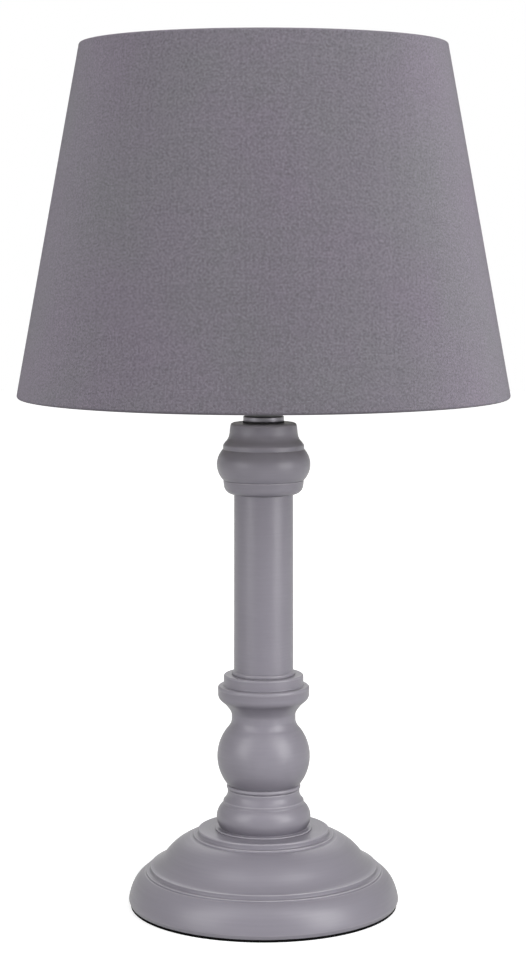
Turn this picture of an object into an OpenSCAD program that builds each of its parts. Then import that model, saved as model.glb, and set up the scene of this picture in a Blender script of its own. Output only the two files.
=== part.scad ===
// Table lamp: a turned and painted wooden stem, a tapered fabric shade and a screw-in bulb.
// Lengths are in millimetres. The lamp stands on z = 0 and its axis is Z. The cord inlet is at +Y.

/* [Pad and foot] */
// Diameter of the pad under the foot
pad_d = 138; // [110:0.2:138]
// Thickness of the pad
pad_t = 1.4; // [0.6:0.1:3]
// Widest diameter of the foot
foot_d = 140; // [126:0.5:170]
// Diameter of the foot where it meets the pad
foot_base_d = 138.2; // [110:0.2:150]
// Height of the foot's lower edge, up to the widest place
foot_edge_h = 2.1; // [1:0.1:6]
// Diameter at the rim's shoulder
shoulder_d = 136.4; // [124:0.2:150]
// Height from the widest place to the rim's shoulder
shoulder_h = 6.5; // [3:0.1:10]
// Diameter where the rim ends at the first step
rim_top_d = 123.4; // [118:0.2:126]
// Height from the shoulder to the first step
rim_top_h = 7.6; // [4:0.1:12]
// Diameter of the lower fillet
low_fillet_d = 122; // [118:0.2:123]
// Height of the lower fillet
low_fillet_h = 1.1; // [0.6:0.1:3]
// Diameter of the ledge above the lower fillet
ledge_d = 117.6; // [112:0.2:118]
// Height of the ledge
ledge_h = 2.3; // [1.2:0.1:5]
// Diameter where the hollow sweep turns into the dome
sweep_d = 102.8; // [90:0.2:110]
// Height of the hollow sweep
sweep_h = 5.1; // [2:0.1:8]
// Diameter of the dome's top
dome_top_d = 74.8; // [73:0.2:84]
// Height of the dome
dome_h = 10; // [4:0.1:14]
// Diameter of the upper fillet
high_fillet_d = 72.8; // [70:0.2:73]
// Height of the upper fillet
high_fillet_h = 1.2; // [0.6:0.1:3]
// Diameter of the round table that the stem stands on
table_d = 68; // [56:0.2:70]
// Height of the table
table_h = 2.75; // [1.6:0.05:6]
// Rounding of the table's edge
table_round = 1.2; // [0.4:0.1:1.5]
// Diameter of the hollow under the foot
hollow_d = 36; // [30:0.5:60]
// Depth of the hollow under the foot
hollow_h = 12; // [11:0.5:18]

/* [Cord inlet] */
// Height of the inlet's centre above the foot's underside
inlet_h = 6.5; // [5.6:0.1:9]
// How far the flat seat of the bush lies inside the foot's widest place
inlet_depth = 3.6; // [3:0.1:10]
// Bore of the bush
bush_bore_d = 6; // [4:0.1:6.4]
// Outer diameter of the bush's sleeve
bush_d = 7.8; // [7.4:0.1:8.4]
// Length of the bush's sleeve
bush_h = 10; // [5:0.5:20]
// Diameter of the bush's flange
bush_flange_d = 10.4; // [9.4:0.1:11]
// Thickness of the bush's flange
bush_flange_t = 1.2; // [0.6:0.1:2]
// Diameter of the duct from the bush to the hollow
duct_d = 7; // [6.6:0.1:7.2]

/* [Lower turning] */
// Diameter of the thin lip that stands on the foot
lip_d = 50.2; // [46:0.2:54]
// Height of the lip
lip_h = 0.8; // [0.4:0.1:1.6]
// Diameter of the cushion's ends
cushion_end_d = 42.8; // [38:0.2:46]
// Widest diameter of the cushion
cushion_d = 48.5; // [44:0.1:56]
// Height of the cushion
cushion_h = 12.25; // [8:0.05:18]
// Diameter of the quirk above the cushion
quirk_d = 41.6; // [36:0.1:42.6]
// Height of the quirk
quirk_h = 2.1; // [0.8:0.1:4]
// Diameter of the lower neck
neck_d = 37.2; // [32:0.1:40]
// Height of the flare below the lower neck
neck_flare_h = 3.7; // [2:0.1:8]
// Height of the lower neck
neck_h = 2.2; // [0.8:0.1:8]
// Diameter of the bead on the neck
neck_bead_d = 38.2; // [37.6:0.1:44]
// Height of the bead on the neck
neck_bead_h = 2.4; // [1:0.1:5]
// Depth of the grooves on both sides of the bead
groove_depth = 0.45; // [0.2:0.05:1]
// Diameter of the ball where it starts
ball_low_d = 37.2; // [32:0.1:42]
// Widest diameter of the ball
ball_d = 47.9; // [44:0.1:56]
// Diameter of the ball where it ends
ball_high_d = 36.2; // [32:0.1:40]
// Height of the ball
ball_h = 30; // [20:0.1:40]
// Diameter of the waist
waist_d = 33; // [30:0.1:36]
// Height of the blend from the ball to the waist
waist_blend_h = 3.5; // [1:0.1:6]
// Height of the waist
waist_h = 3.8; // [1:0.1:10]
// Diameter where the cove turns into the collar
cove_d = 42.4; // [38:0.1:45]
// Height of the cove
cove_h = 6; // [3:0.1:10]
// Diameter of the collar
collar_d = 47.1; // [45.4:0.1:54]
// Height of the collar's rounded underside
collar_under_h = 3.5; // [1:0.1:6]
// Height of the collar's straight side
collar_side_h = 3; // [0.6:0.1:8]
// Height of the collar's rounded top
collar_round_h = 1.95; // [0.6:0.05:3]
// Width of the collar's rounded top
collar_round_w = 0.95; // [0.4:0.05:1.6]
// Diameter of the ring on the collar
ring_d = 41.1; // [37:0.1:44]
// Height of the ring's side
ring_h = 4.75; // [2:0.05:8]
// Rounding of the ring's top
ring_round = 1.1; // [0.3:0.1:2]

/* [Shaft] */
// Diameter of the bead at the shaft's foot
shaft_bead_d = 32.6; // [31.4:0.1:36]
// Height of the bead at the shaft's foot
shaft_bead_h = 1.7; // [0.8:0.1:4]
// Diameter of the shaft above the bead
shaft_d = 30.5; // [28:0.1:31]
// Diameter of the shaft at its top
shaft_top_d = 30.2; // [27:0.1:30.5]
// Height of the shaft
shaft_h = 93.2; // [40:0.2:200]

/* [Capital] */
// Diameter of the capital where it meets the shaft
cap_foot_d = 30.8; // [30.6:0.1:34]
// Diameter at the bottom of the lower ring
low_ring_d = 40.4; // [38:0.1:44]
// Height of the rounded underside
cap_under_h = 4.2; // [2:0.1:8]
// Diameter at the top of the lower ring
low_ring_top_d = 41.2; // [38:0.1:44]
// Height of the lower ring
low_ring_h = 2.9; // [1:0.1:6]
// Diameter of the belly's ends
belly_end_d = 41.8; // [38:0.1:44]
// Widest diameter of the belly
belly_d = 47.8; // [44.4:0.1:56]
// Height of the belly, with the small step below it
belly_h = 15.8; // [8:0.1:24]
// Height of the small step below the belly
belly_step_h = 0.4; // [0.2:0.1:1]
// Diameter of the upper ring
high_ring_d = 41.4; // [38:0.1:43]
// Height of the upper ring
high_ring_h = 2.2; // [1:0.1:5]
// Diameter at the top of the upper ring's shoulder
cap_shoulder_d = 37; // [34:0.1:40]
// Height of the shoulder
cap_shoulder_h = 2.7; // [1:0.1:5]
// Diameter where the hollow neck gets straight
cap_neck_d = 34.7; // [32:0.1:37]
// Height of the hollow neck
cap_neck_h = 4.5; // [2:0.1:8]
// Diameter below the top edge
cap_top_d = 34; // [31:0.1:36]
// Height of the straight part below the top edge
cap_straight_h = 2.7; // [1:0.1:6]
// Width of the rounded top edge
cap_edge_w = 2; // [0.4:0.1:3]
// Height of the rounded top edge
cap_edge_h = 1.5; // [0.5:0.1:3]

/* [Joints of the stem] */
// Diameter of the spigot under the lower turning
stem_spigot_d = 22; // [16:0.5:28]
// Diameter of the spigots at both ends of the shaft
shaft_spigot_d = 20; // [16:0.5:24]
// Length of every spigot
spigot_h = 8; // [4:0.5:9]
// Gap around a spigot in its socket
spigot_gap = 0.1; // [0.05:0.01:0.3]
// Gap left at the end of a spigot
spigot_end_gap = 0.5; // [0.3:0.1:2]
// Diameter of the threaded tube
tube_d = 10; // [8:0.5:12]
// Bore of the threaded tube
tube_bore_d = 8; // [5:0.5:8]
// Gap around the tube in the wood
tube_gap = 0.2; // [0.1:0.05:0.6]
// Pitch of the tube's thread
tube_pitch = 1; // [0.75:0.05:1.5]
// Depth of the tube's thread
tube_thread = 0.4; // [0.2:0.05:0.5]
// Length of tube below the foot's nut
tube_tail = 2.5; // [1:0.1:4]
// Width of the nuts across their flats
nut_flats = 14; // [13:0.1:16]
// Thickness of the nuts
nut_t = 3; // [2:0.1:3.4]
// Diameter of the washer in the foot
foot_washer_d = 25; // [18:0.5:30]
// Thickness of the washer in the foot
foot_washer_t = 1.5; // [0.8:0.1:2]
// Diameter of the washer in the capital
top_washer_d = 18; // [17:0.1:19]
// Thickness of the washer in the capital
top_washer_t = 1; // [0.6:0.1:1.4]
// Depth of the seat for washer and nut in the capital
nut_seat_h = 4.5; // [4.4:0.1:6]
// Gap between metal parts that go into one another
fit_gap = 0.05; // [0.02:0.01:0.1]
// Gap around the washer in the capital
seat_gap = 0.3; // [0.1:0.1:0.6]

/* [Lampholder] */
// Diameter of the black washer under the collar
neck_washer_d = 21; // [20.9:0.1:30]
// Thickness of the black washer
neck_washer_t = 0.7; // [0.4:0.1:2]
// Diameter of the metal collar
neck_collar_d = 20.8; // [19.6:0.1:26]
// Height of the metal collar
neck_collar_h = 2.6; // [1.5:0.1:8]
// Rounding of the metal collar's edges
neck_collar_round = 0.4; // [0.1:0.1:0.8]
// Diameter of the holder cap's neck
holder_neck_d = 19.8; // [18:0.1:22]
// Height of the holder cap's neck
holder_neck_h = 4.2; // [3.8:0.1:8]
// Height of the holder cap's cone
holder_cone_h = 5.7; // [3:0.1:10]
// Outer diameter of the holder cap
holder_cap_d = 38.4; // [38:0.1:42]
// Height of the holder cap's straight side above the cone
holder_side_h = 8; // [7:0.1:14]
// Wall of the holder cap
holder_wall = 2; // [1.2:0.1:2.2]
// Thickness of the holder cap's floor
holder_floor = 6.2; // [5:0.1:6.4]
// Diameter of the grub screw in the cap's neck
grub_d = 3; // [2:0.1:3]
// Size of the grub screw's hex socket
grub_socket_d = 1.6; // [1:0.1:2]
// Depth of the grub screw's hex socket
grub_socket_h = 1.5; // [0.8:0.1:2.5]
// How far the grub screw lies inside the neck's surface
grub_sink = 0.5; // [0.2:0.1:1]
// Length of the skirt that goes into the cap
skirt_spigot_h = 5; // [3:0.1:5.4]
// Bore of the skirt
skirt_bore_d = 29.8; // [29.6:0.1:30.4]
// Diameter over the skirt's thread
skirt_d = 39; // [38.6:0.1:40]
// Depth of the skirt's thread
skirt_thread = 0.6; // [0.3:0.1:0.9]
// Pitch of the skirt's thread
skirt_pitch = 3; // [2:0.1:4]
// Height of the skirt above the cap
skirt_h = 36; // [32:0.5:40]
// Height of the seat flange's underside above the cap
seat_low_h = 4; // [2:0.1:8]
// Diameter of the seat flange
seat_d = 51; // [46:0.5:53]
// Thickness of the seat flange
seat_t = 2.5; // [1.5:0.1:4]

/* [Contacts] */
// Diameter of the terminal block
block_d = 29.6; // [28:0.1:29.6]
// Height of the terminal block
block_h = 13; // [10:0.1:14]
// Width of a terminal
terminal_w = 6; // [5:0.1:7]
// Depth of a terminal
terminal_l = 7; // [5:0.1:8]
// Height of a terminal
terminal_h = 5.2; // [4.6:0.1:6.4]
// Distance of the live terminal from the axis
live_x = 8; // [7:0.1:9]
// Gap between the neutral terminal's screw and the holder cap's cone
terminal_gap = 0.3; // [0.2:0.1:1]
// Diameter of the terminal screws
screw_d = 2.8; // [2:0.1:3]
// Diameter of the terminal screws' heads
screw_head_d = 4.6; // [4:0.1:5.4]
// Height of the terminal screws' heads
screw_head_h = 1.5; // [1:0.1:2]
// Width of the slot in a screw's head
screw_slot_w = 0.8; // [0.5:0.1:1]
// Diameter of the contact rivets
rivet_d = 2.8; // [2:0.1:3]
// Diameter of the contact rivets' heads
rivet_head_d = 4; // [3.4:0.1:4.6]
// Height of the contact rivets' heads
rivet_head_h = 0.6; // [0.3:0.1:1]
// Distance of the live rivet from the axis
live_rivet_x = 6.4; // [6:0.1:7]
// Gap between the neutral rivet's head and the shell's wall
rivet_gap = 0.2; // [0.1:0.1:1]
// Thickness of the brass leaf
leaf_t = 0.5; // [0.3:0.1:0.8]
// Width of the brass leaf
leaf_w = 5; // [4:0.1:5.4]
// Rise of the brass leaf from the block to the bulb
leaf_rise = 1.7; // [1:0.1:3]
// Wall of the screw shell
shell_t = 0.4; // [0.3:0.05:0.5]
// Height of the screw shell
shell_h = 25; // [22:0.1:26]
// Diameter of the hole in the shell's floor
shell_hole_d = 18.8; // [18.4:0.1:19]

/* [Retaining ring] */
// Diameter of the ring's flange
clamp_flange_d = 52; // [48:0.5:53]
// Thickness of the ring's flange
clamp_flange_t = 2; // [1.2:0.1:3]
// Diameter of the ring's sleeve
clamp_d = 45.6; // [44:0.1:47]
// Height of the whole ring
clamp_h = 10; // [6:0.5:16]
// Gap between the ring and the skirt's thread
clamp_gap = 0.3; // [0.2:0.05:0.6]
// Number of grip ribs
clamp_ribs = 18; // [8:1:24]
// Diameter of a grip rib
clamp_rib_d = 1.6; // [1:0.1:2.4]

/* [Shade] */
// Diameter of the shade's lower edge
shade_d = 250; // [200:1:320]
// Diameter of the shade's upper edge
shade_top_d = 184.9; // [140:0.2:250]
// Height of the shade
shade_h = 177.1; // [150:0.5:260]
// Height of the fitter ring's underside above the shade's lower edge
fitter_rise = 14.6; // [8:0.1:30]
// Thickness of the wires in both edges
wire_d = 2; // [1.8:0.1:4]
// Thickness of the fabric
cloth_t = 0.4; // [0.3:0.1:0.8]
// Thickness of the liner
liner_t = 0.4; // [0.3:0.1:0.8]
// Height of the turned-in edge above the wire
hem_h = 9; // [6:0.5:20]
// Height over which the turned-in edge leaves the wire
hem_blend_h = 4; // [3:0.1:5]
// Gap between the liner and the wire
liner_gap = 0.4; // [0.2:0.1:1]
// Width of the lap at the back of the fabric
lap_w = 10; // [5:0.5:20]
// Distance of the lap from the wires
lap_inset = 6; // [5:0.5:20]
// Outer diameter of the fitter ring
fitter_d = 54; // [53.6:0.2:60]
// Bore of the fitter ring
fitter_bore_d = 42; // [41:0.1:45]
// Thickness of the fitter ring
fitter_t = 1.6; // [1:0.1:2]
// Number of spokes
spoke_count = 3; // [3:1:4]
// Thickness of the spokes
spoke_d = 1.8; // [1.4:0.1:1.9]
// Gap around a spoke where it goes through the fabric
spoke_gap = 0.2; // [0.1:0.05:0.4]

/* [Bulb] */
// Widest diameter of the bulb
bulb_d = 36; // [34:0.5:37]
// Length of the bulb from its tip to its top
bulb_h = 105; // [90:0.5:120]
// Diameter over the bulb's thread
bulb_thread_d = 26.1; // [25.8:0.1:26.2]
// Depth of the bulb's thread
bulb_thread = 0.66; // [0.4:0.02:0.8]
// Pitch of the bulb's thread
bulb_pitch = 3.629; // [3:0.001:4]
// Gap between the bulb's thread and the screw shell
bulb_gap = 0.32; // [0.25:0.01:0.5]
// Wall of the bulb's threaded cap
bulb_cap_t = 0.35; // [0.25:0.05:0.5]
// Height of the threaded cap with tip and insulator
bulb_cap_h = 27; // [26:0.1:28]
// Diameter of the bulb's tip
tip_d = 9.8; // [8:0.1:10]
// Height of the bulb's tip
tip_h = 1.8; // [1.2:0.1:2.4]
// Height of the dark insulator
insulator_h = 4.8; // [3.6:0.1:6]
// Diameter of the insulator's lower end
insulator_low_d = 11.6; // [11:0.1:13]
// Diameter of the insulator's upper end
insulator_high_d = 23.6; // [22:0.1:23.8]
// Height of the white housing
housing_h = 24.8; // [18:0.1:32]
// Wall of the white housing
housing_t = 1.2; // [0.8:0.1:2]
// Height over which the housing widens
housing_flare_h = 13; // [6:0.1:16]
// Diameter of the housing where it meets the cap
housing_low_d = 27; // [26.4:0.1:30]
// Wall of the dome
dome_t = 1; // [0.6:0.1:1.6]
// Height of the dome's widest place above the housing
dome_wide_h = 11; // [6:0.1:16]
// Diameter of the dome where its point starts
dome_point_d = 22; // [16:0.1:28]
// Height of the dome's point
dome_point_h = 15; // [8:0.1:20]
// Thickness of the boards
board_t = 1.2; // [0.8:0.1:1.6]
// Width of the driver board
driver_w = 18; // [12:0.5:20]
// Height of the driver board
driver_h = 20; // [12:0.5:21]
// Number of light chips
chip_count = 8; // [4:1:12]
// Width of a light chip
chip_w = 3; // [2:0.1:3.4]
// Thickness of a light chip
chip_t = 0.8; // [0.4:0.1:1.2]
// Diameter of the circle of chips
chip_circle_d = 22; // [18:0.5:24]

/* [Hidden] */
$fn = 96;
// Overrun of every cut past a face
over = 1;
// Largest turn between two points of an arc
arc_angle = 9;
// Rise of an arc as a share of its chord
quarter_share = 0.2071;
soft_share = 0.03;
round_share = 0.083;
dome_share = 0.07;
sweep_share = -0.045;
flare_share = -0.08;
blend_share = -0.06;
cove_share = -0.055;
ovolo_share = 0.11;
under_share = 0.12;
shoulder_share = 0.04;
point_share = 0.2;
// Points of one thread turn
thread_steps = 8;

// Heights of the stacked pieces
foot_z = pad_t;
shoulder_z = foot_z + foot_edge_h + shoulder_h;
rim_top_z = shoulder_z + rim_top_h;
ledge_z = rim_top_z + low_fillet_h;
sweep_z = ledge_z + ledge_h;
dome_z = sweep_z + sweep_h;
high_fillet_z = dome_z + dome_h;
table_z = high_fillet_z + high_fillet_h;
stem_z = table_z + table_h;
cushion_z = stem_z + lip_h;
quirk_z = cushion_z + cushion_h;
flare_z = quirk_z + quirk_h;
neck_z = flare_z + neck_flare_h;
neck_bead_z = neck_z + neck_h;
ball_z = neck_bead_z + neck_bead_h;
ball_top_z = ball_z + ball_h;
waist_z = ball_top_z + waist_blend_h;
cove_z = waist_z + waist_h;
collar_z = cove_z + cove_h;
collar_side_z = collar_z + collar_under_h;
collar_round_z = collar_side_z + collar_side_h;
ring_z = collar_round_z + collar_round_h;
ring_round_z = ring_z + ring_h;
shaft_z = ring_round_z + ring_round;
cap_z = shaft_z + shaft_h;
low_ring_z = cap_z + cap_under_h;
belly_step_z = low_ring_z + low_ring_h;
high_ring_z = belly_step_z + belly_h;
cap_shoulder_z = high_ring_z + high_ring_h;
cap_neck_z = cap_shoulder_z + cap_shoulder_h;
cap_straight_z = cap_neck_z + cap_neck_h;
cap_edge_z = cap_straight_z + cap_straight_h;
cap_top_z = cap_edge_z + cap_edge_h;
neck_collar_z = cap_top_z + neck_washer_t;
holder_z = neck_collar_z + neck_collar_h;
holder_floor_z = holder_z + holder_floor;
holder_cone_z = holder_z + holder_neck_h;
cone_top_z = holder_cone_z + holder_cone_h;
skirt_z = cone_top_z + holder_side_h;
skirt_top_z = skirt_z + skirt_h;
seat_z = skirt_z + seat_low_h + seat_t;
block_z = skirt_z - skirt_spigot_h + fit_gap;
block_top_z = block_z + block_h;
clamp_z = seat_z + fitter_t;

// The cap's inside widens from its floor to its straight side
cap_in_r = holder_cap_d / 2 - holder_wall;
cone_in_r = holder_neck_d / 2 + holder_wall;
cone_in_z = cone_top_z + holder_wall / 2;

// The neutral terminal's screw keeps clear of the cone, and the neutral rivet of the shell
screw_z = block_z - max(terminal_h, screw_head_d + 2 * fit_gap) / 2;
head_low_share = (screw_z - screw_head_d / 2 - holder_floor_z) / (cone_in_z - holder_floor_z);
head_end = cone_in_r + (cap_in_r - cone_in_r) * head_low_share - terminal_gap;
neutral_x = head_end - screw_head_h - terminal_w / 2;
neutral_rivet_x = bulb_thread_d / 2 + bulb_gap - rivet_head_d / 2 - rivet_gap;

// The foot's inside
hollow_z = foot_z + hollow_h;
inlet_z = foot_z + inlet_h;
inlet_seat = foot_d / 2 - inlet_depth;
washer_z = hollow_z - foot_washer_t;
foot_nut_z = washer_z - nut_t;
tube_z = foot_nut_z - tube_tail;
tube_top_z = holder_floor_z;
tube_hole_d = tube_d + 2 * tube_gap;
column_washer_z = cap_top_z - nut_seat_h;
column_nut_z = column_washer_z + top_washer_t;
nut_d = nut_flats / cos(30);

// The shade's wall runs along the line between the two wires' centres
roll_r = wire_d / 2 + cloth_t;
shade_z = seat_z - fitter_rise;
wire_low = [shade_d / 2 - roll_r, shade_z + roll_r];
wire_high = [shade_top_d / 2 - roll_r, shade_z + shade_h - roll_r];
wall_l = norm(wire_high - wire_low);
wall_lean = atan2(wire_low[0] - wire_high[0], wire_high[1] - wire_low[1]);
cloth_in = wire_d / 2;
liner_in = cloth_in - liner_t;
hem_in = liner_in - cloth_t;
liner_start = sqrt(cloth_in * cloth_in - liner_in * liner_in) + liner_gap;

// The fabric goes round each wire by this angle, then leaves it and lands on the liner
land = [liner_in, hem_blend_h];
leave_angle = atan2(land[1], land[0]) + acos(cloth_in / norm(land));
roll_angle = 360 - leave_angle;
roll_steps = ceil(roll_angle / arc_angle);
roll_in = cloth_in / cos(roll_angle / roll_steps / 2);
leave = roll_r * [cos(leave_angle), sin(leave_angle)];
land_y = leave[1] - (hem_in - leave[0]) * leave[0] / leave[1];

// The bulb's levels
bulb_z = block_top_z + leaf_rise;
insulator_z = bulb_z + tip_h / 2;
bulb_shell_z = bulb_z + tip_h + insulator_h - tip_h / 2;
housing_z = bulb_z + bulb_cap_h;
led_z = housing_z + housing_h;
bulb_top_z = bulb_z + bulb_h;
dome_point_z = bulb_top_z - dome_point_h;
thread_r = bulb_thread_d / 2 - bulb_thread / 2;
shell_r = thread_r + bulb_thread + bulb_gap;

// Points of an arc from p to q, without its ends, that rises to the right by a share of the chord
function bow(p, q, share) =
    let (
        d = q - p,
        l = norm(d),
        rise = l * share,
        r = (l * l / 4 + rise * rise) / (2 * rise),
        half = 2 * atan(2 * abs(share)),
        n = max(2, ceil(2 * half / arc_angle)),
        along = d / l,
        side = [along[1], -along[0]],
        centre = (p + q) / 2 + side * (rise - r)
    )
    [for (i = [1:n - 1]) let (a = half * (2 * i / n - 1))
        centre + side * r * cos(a) + along * abs(r) * sin(a)];

// An arc between two heights at one end diameter that reaches another diameter
function bulge(p, q, d) = bow(p, q, (d / 2 - (p[0] + q[0]) / 2) / norm(q - p));

// An arc that starts straight up at p and leans in to q
function upright(p, q) = bow(p, q, tan(atan2(p[0] - q[0], q[1] - p[1]) / 2) / 2);

// A wavy stretch between two heights: rings of a round thread about a mean radius
function waves(r, depth, pitch, z0, z1) =
    let (n = floor((z1 - z0) / pitch), start = (z0 + z1 - n * pitch) / 2)
    [for (i = [0:n * thread_steps])
        [r - depth / 2 * cos(360 * i / thread_steps), start + i * pitch / thread_steps]];

// The same points from the last to the first
function reversed(points) = [for (i = [len(points) - 1:-1:0]) points[i]];

// A solid turned about the lamp's axis
module turned(outline) {
    rotate_extrude() polygon(outline);
}

// A round hole along the axis between two heights
module hole(d, z0, z1) {
    translate([0, 0, z0]) cylinder(d = d, h = z1 - z0);
}

// A ring or washer on the axis
module washer(d, bore, t, z) {
    difference() {
        translate([0, 0, z]) cylinder(d = d, h = t);
        hole(bore, z - over, z + t + over);
    }
}

// A hex nut on the tube
module nut(z) {
    difference() {
        translate([0, 0, z]) cylinder(d = nut_d, h = nut_t, $fn = 6);
        hole(tube_d + 2 * fit_gap, z - over, z + nut_t + over);
    }
}

module base_pad() {
    color("#161616") cylinder(d = pad_d, h = pad_t);
}

// The foot: rim, two fillets with a ledge, a hollow sweep, a dome and the table for the stem
module foot() {
    base = [foot_base_d / 2, foot_z];
    wide = [foot_d / 2, foot_z + foot_edge_h];
    shoulder = [shoulder_d / 2, shoulder_z];
    rim_top = [rim_top_d / 2, rim_top_z];
    fillet = [low_fillet_d / 2, rim_top_z];
    fillet_edge = [low_fillet_d / 2, ledge_z - low_fillet_h / 3];
    fillet_top = [low_fillet_d / 2 - low_fillet_h / 3, ledge_z];
    ledge = [ledge_d / 2, ledge_z];
    ledge_edge = [ledge_d / 2, sweep_z - ledge_h / 4];
    ledge_top = [ledge_d / 2 - ledge_h / 4, sweep_z];
    sweep = [ledge_top[0] - ledge_h / 5, sweep_z];
    dome = [sweep_d / 2, dome_z];
    dome_top = [dome_top_d / 2, high_fillet_z];
    upper = [high_fillet_d / 2, high_fillet_z];
    upper_edge = [high_fillet_d / 2, table_z - high_fillet_h / 3];
    upper_top = [high_fillet_d / 2 - high_fillet_h / 3, table_z];
    table = [table_d / 2, table_z];
    table_edge = [table_d / 2, stem_z - table_round];
    table_top = [table_d / 2 - table_round, stem_z];
    outline = concat(
        [[0, foot_z], base], bow(base, wide, soft_share),
        [wide], bow(wide, shoulder, soft_share),
        [shoulder], bow(shoulder, rim_top, round_share),
        [rim_top, fillet, fillet_edge], bow(fillet_edge, fillet_top, quarter_share),
        [fillet_top, ledge, ledge_edge], bow(ledge_edge, ledge_top, quarter_share),
        [ledge_top, sweep], bow(sweep, dome, sweep_share),
        [dome], bow(dome, dome_top, dome_share),
        [dome_top, upper, upper_edge], bow(upper_edge, upper_top, quarter_share),
        [upper_top, table, table_edge], bow(table_edge, table_top, quarter_share),
        [table_top, [0, stem_z]]
    );
    color("#8c8a90") difference() {
        turned(outline);
        hole(hollow_d, foot_z - over, hollow_z);
        hole(tube_hole_d, foot_z, stem_z + over);
        hole(stem_spigot_d + 2 * spigot_gap, stem_z - spigot_h - spigot_end_gap, stem_z + over);
        translate([0, 0, inlet_z]) rotate([-90, 0, 0]) {
            cylinder(d = duct_d, h = inlet_seat);
            translate([0, 0, inlet_seat - bush_h]) cylinder(d = bush_d + 2 * fit_gap, h = bush_h + over);
            translate([0, 0, inlet_seat]) cylinder(d = bush_flange_d + 2 * seat_gap, h = foot_d / 2);
        }
    }
}

module inlet_bush() {
    color("#1c1c1e") translate([0, 0, inlet_z]) rotate([-90, 0, 0]) difference() {
        union() {
            translate([0, 0, inlet_seat - bush_h]) cylinder(d = bush_d, h = bush_h);
            translate([0, 0, inlet_seat]) cylinder(d = bush_flange_d, h = bush_flange_t);
        }
        translate([0, 0, inlet_seat - bush_h - over])
            cylinder(d = bush_bore_d, h = bush_h + bush_flange_t + 2 * over);
    }
}

// The lower turning, from its spigot to the ring that the shaft stands in
module baluster() {
    lip_low = [lip_d / 2, stem_z];
    lip_top = [lip_d / 2 - lip_h / 3, cushion_z];
    cushion = [cushion_end_d / 2, cushion_z];
    cushion_top = [cushion_end_d / 2, quirk_z];
    quirk = [quirk_d / 2, quirk_z + quirk_h / 4];
    quirk_top = [quirk_d / 2, flare_z];
    neck = [neck_d / 2, neck_z];
    neck_top = [neck_d / 2, neck_bead_z - groove_depth];
    groove = [neck_d / 2 - groove_depth, neck_bead_z];
    groove_top = [neck_d / 2 - groove_depth, ball_z];
    ball = [ball_low_d / 2, ball_z];
    ball_top = [ball_high_d / 2, ball_top_z];
    waist = [waist_d / 2, waist_z];
    waist_top = [waist_d / 2, cove_z];
    cove = [cove_d / 2, collar_z];
    collar = [collar_d / 2, collar_side_z];
    collar_edge = [collar_d / 2, collar_round_z];
    collar_top = [collar_d / 2 - collar_round_w, ring_z];
    ring = [ring_d / 2, ring_z];
    ring_edge = [ring_d / 2, ring_round_z];
    ring_top = [ring_d / 2 - ring_round, shaft_z];
    outline = concat(
        [[0, stem_z - spigot_h], [stem_spigot_d / 2, stem_z - spigot_h], [stem_spigot_d / 2, stem_z]],
        [lip_low], bow(lip_low, lip_top, quarter_share),
        [lip_top, cushion], bulge(cushion, cushion_top, cushion_d),
        [cushion_top, quirk, quirk_top], bow(quirk_top, neck, flare_share),
        [neck, neck_top, groove], bulge(groove, groove_top, neck_bead_d),
        [groove_top, ball], bulge(ball, ball_top, ball_d),
        [ball_top], bow(ball_top, waist, blend_share),
        [waist, waist_top], bow(waist_top, cove, cove_share),
        [cove], bow(cove, collar, ovolo_share),
        [collar, collar_edge], bow(collar_edge, collar_top, quarter_share),
        [collar_top, ring, ring_edge], bow(ring_edge, ring_top, quarter_share),
        [ring_top, [0, shaft_z]]
    );
    color("#8c8a90") difference() {
        turned(outline);
        hole(tube_hole_d, stem_z - spigot_h - over, shaft_z + over);
        hole(shaft_spigot_d + 2 * spigot_gap, shaft_z - spigot_h - spigot_end_gap, shaft_z + over);
    }
}

// The column, with a bead at its foot and a spigot at each end
module shaft() {
    bead = [shaft_d / 2, shaft_z];
    bead_top = [shaft_d / 2, shaft_z + shaft_bead_h];
    spigot_r = shaft_spigot_d / 2;
    outline = concat(
        [[0, shaft_z - spigot_h], [spigot_r, shaft_z - spigot_h], [spigot_r, shaft_z]],
        [bead], bulge(bead, bead_top, shaft_bead_d),
        [bead_top, [shaft_top_d / 2, cap_z]],
        [[spigot_r, cap_z], [spigot_r, cap_z + spigot_h], [0, cap_z + spigot_h]]
    );
    color("#8c8a90") difference() {
        turned(outline);
        hole(tube_hole_d, shaft_z - spigot_h - over, cap_z + spigot_h + over);
    }
}

// The capital, with a socket for the shaft below and a seat for washer and nut above
module capital() {
    low = [cap_foot_d / 2, cap_z];
    low_ring = [low_ring_d / 2, low_ring_z];
    low_ring_top = [low_ring_top_d / 2, belly_step_z];
    belly = [belly_end_d / 2, belly_step_z + belly_step_h];
    belly_top = [belly_end_d / 2, high_ring_z];
    high_ring = [high_ring_d / 2, high_ring_z];
    high_ring_top = [high_ring_d / 2, cap_shoulder_z];
    neck = [cap_shoulder_d / 2, cap_neck_z];
    straight = [cap_neck_d / 2, cap_straight_z];
    edge = [cap_top_d / 2, cap_edge_z];
    top = [cap_top_d / 2 - cap_edge_w, cap_top_z];
    outline = concat(
        [[0, cap_z], low], bow(low, low_ring, under_share),
        [low_ring, low_ring_top, belly], bulge(belly, belly_top, belly_d),
        [belly_top, high_ring, high_ring_top], bow(high_ring_top, neck, shoulder_share),
        [neck], bow(neck, straight, cove_share),
        [straight, edge], bow(edge, top, quarter_share),
        [top, [0, cap_top_z]]
    );
    color("#8c8a90") difference() {
        turned(outline);
        hole(shaft_spigot_d + 2 * spigot_gap, cap_z - over, cap_z + spigot_h + spigot_end_gap);
        hole(tube_hole_d, cap_z, cap_top_z + over);
        hole(top_washer_d + 2 * seat_gap, column_washer_z, cap_top_z + over);
    }
}

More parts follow.
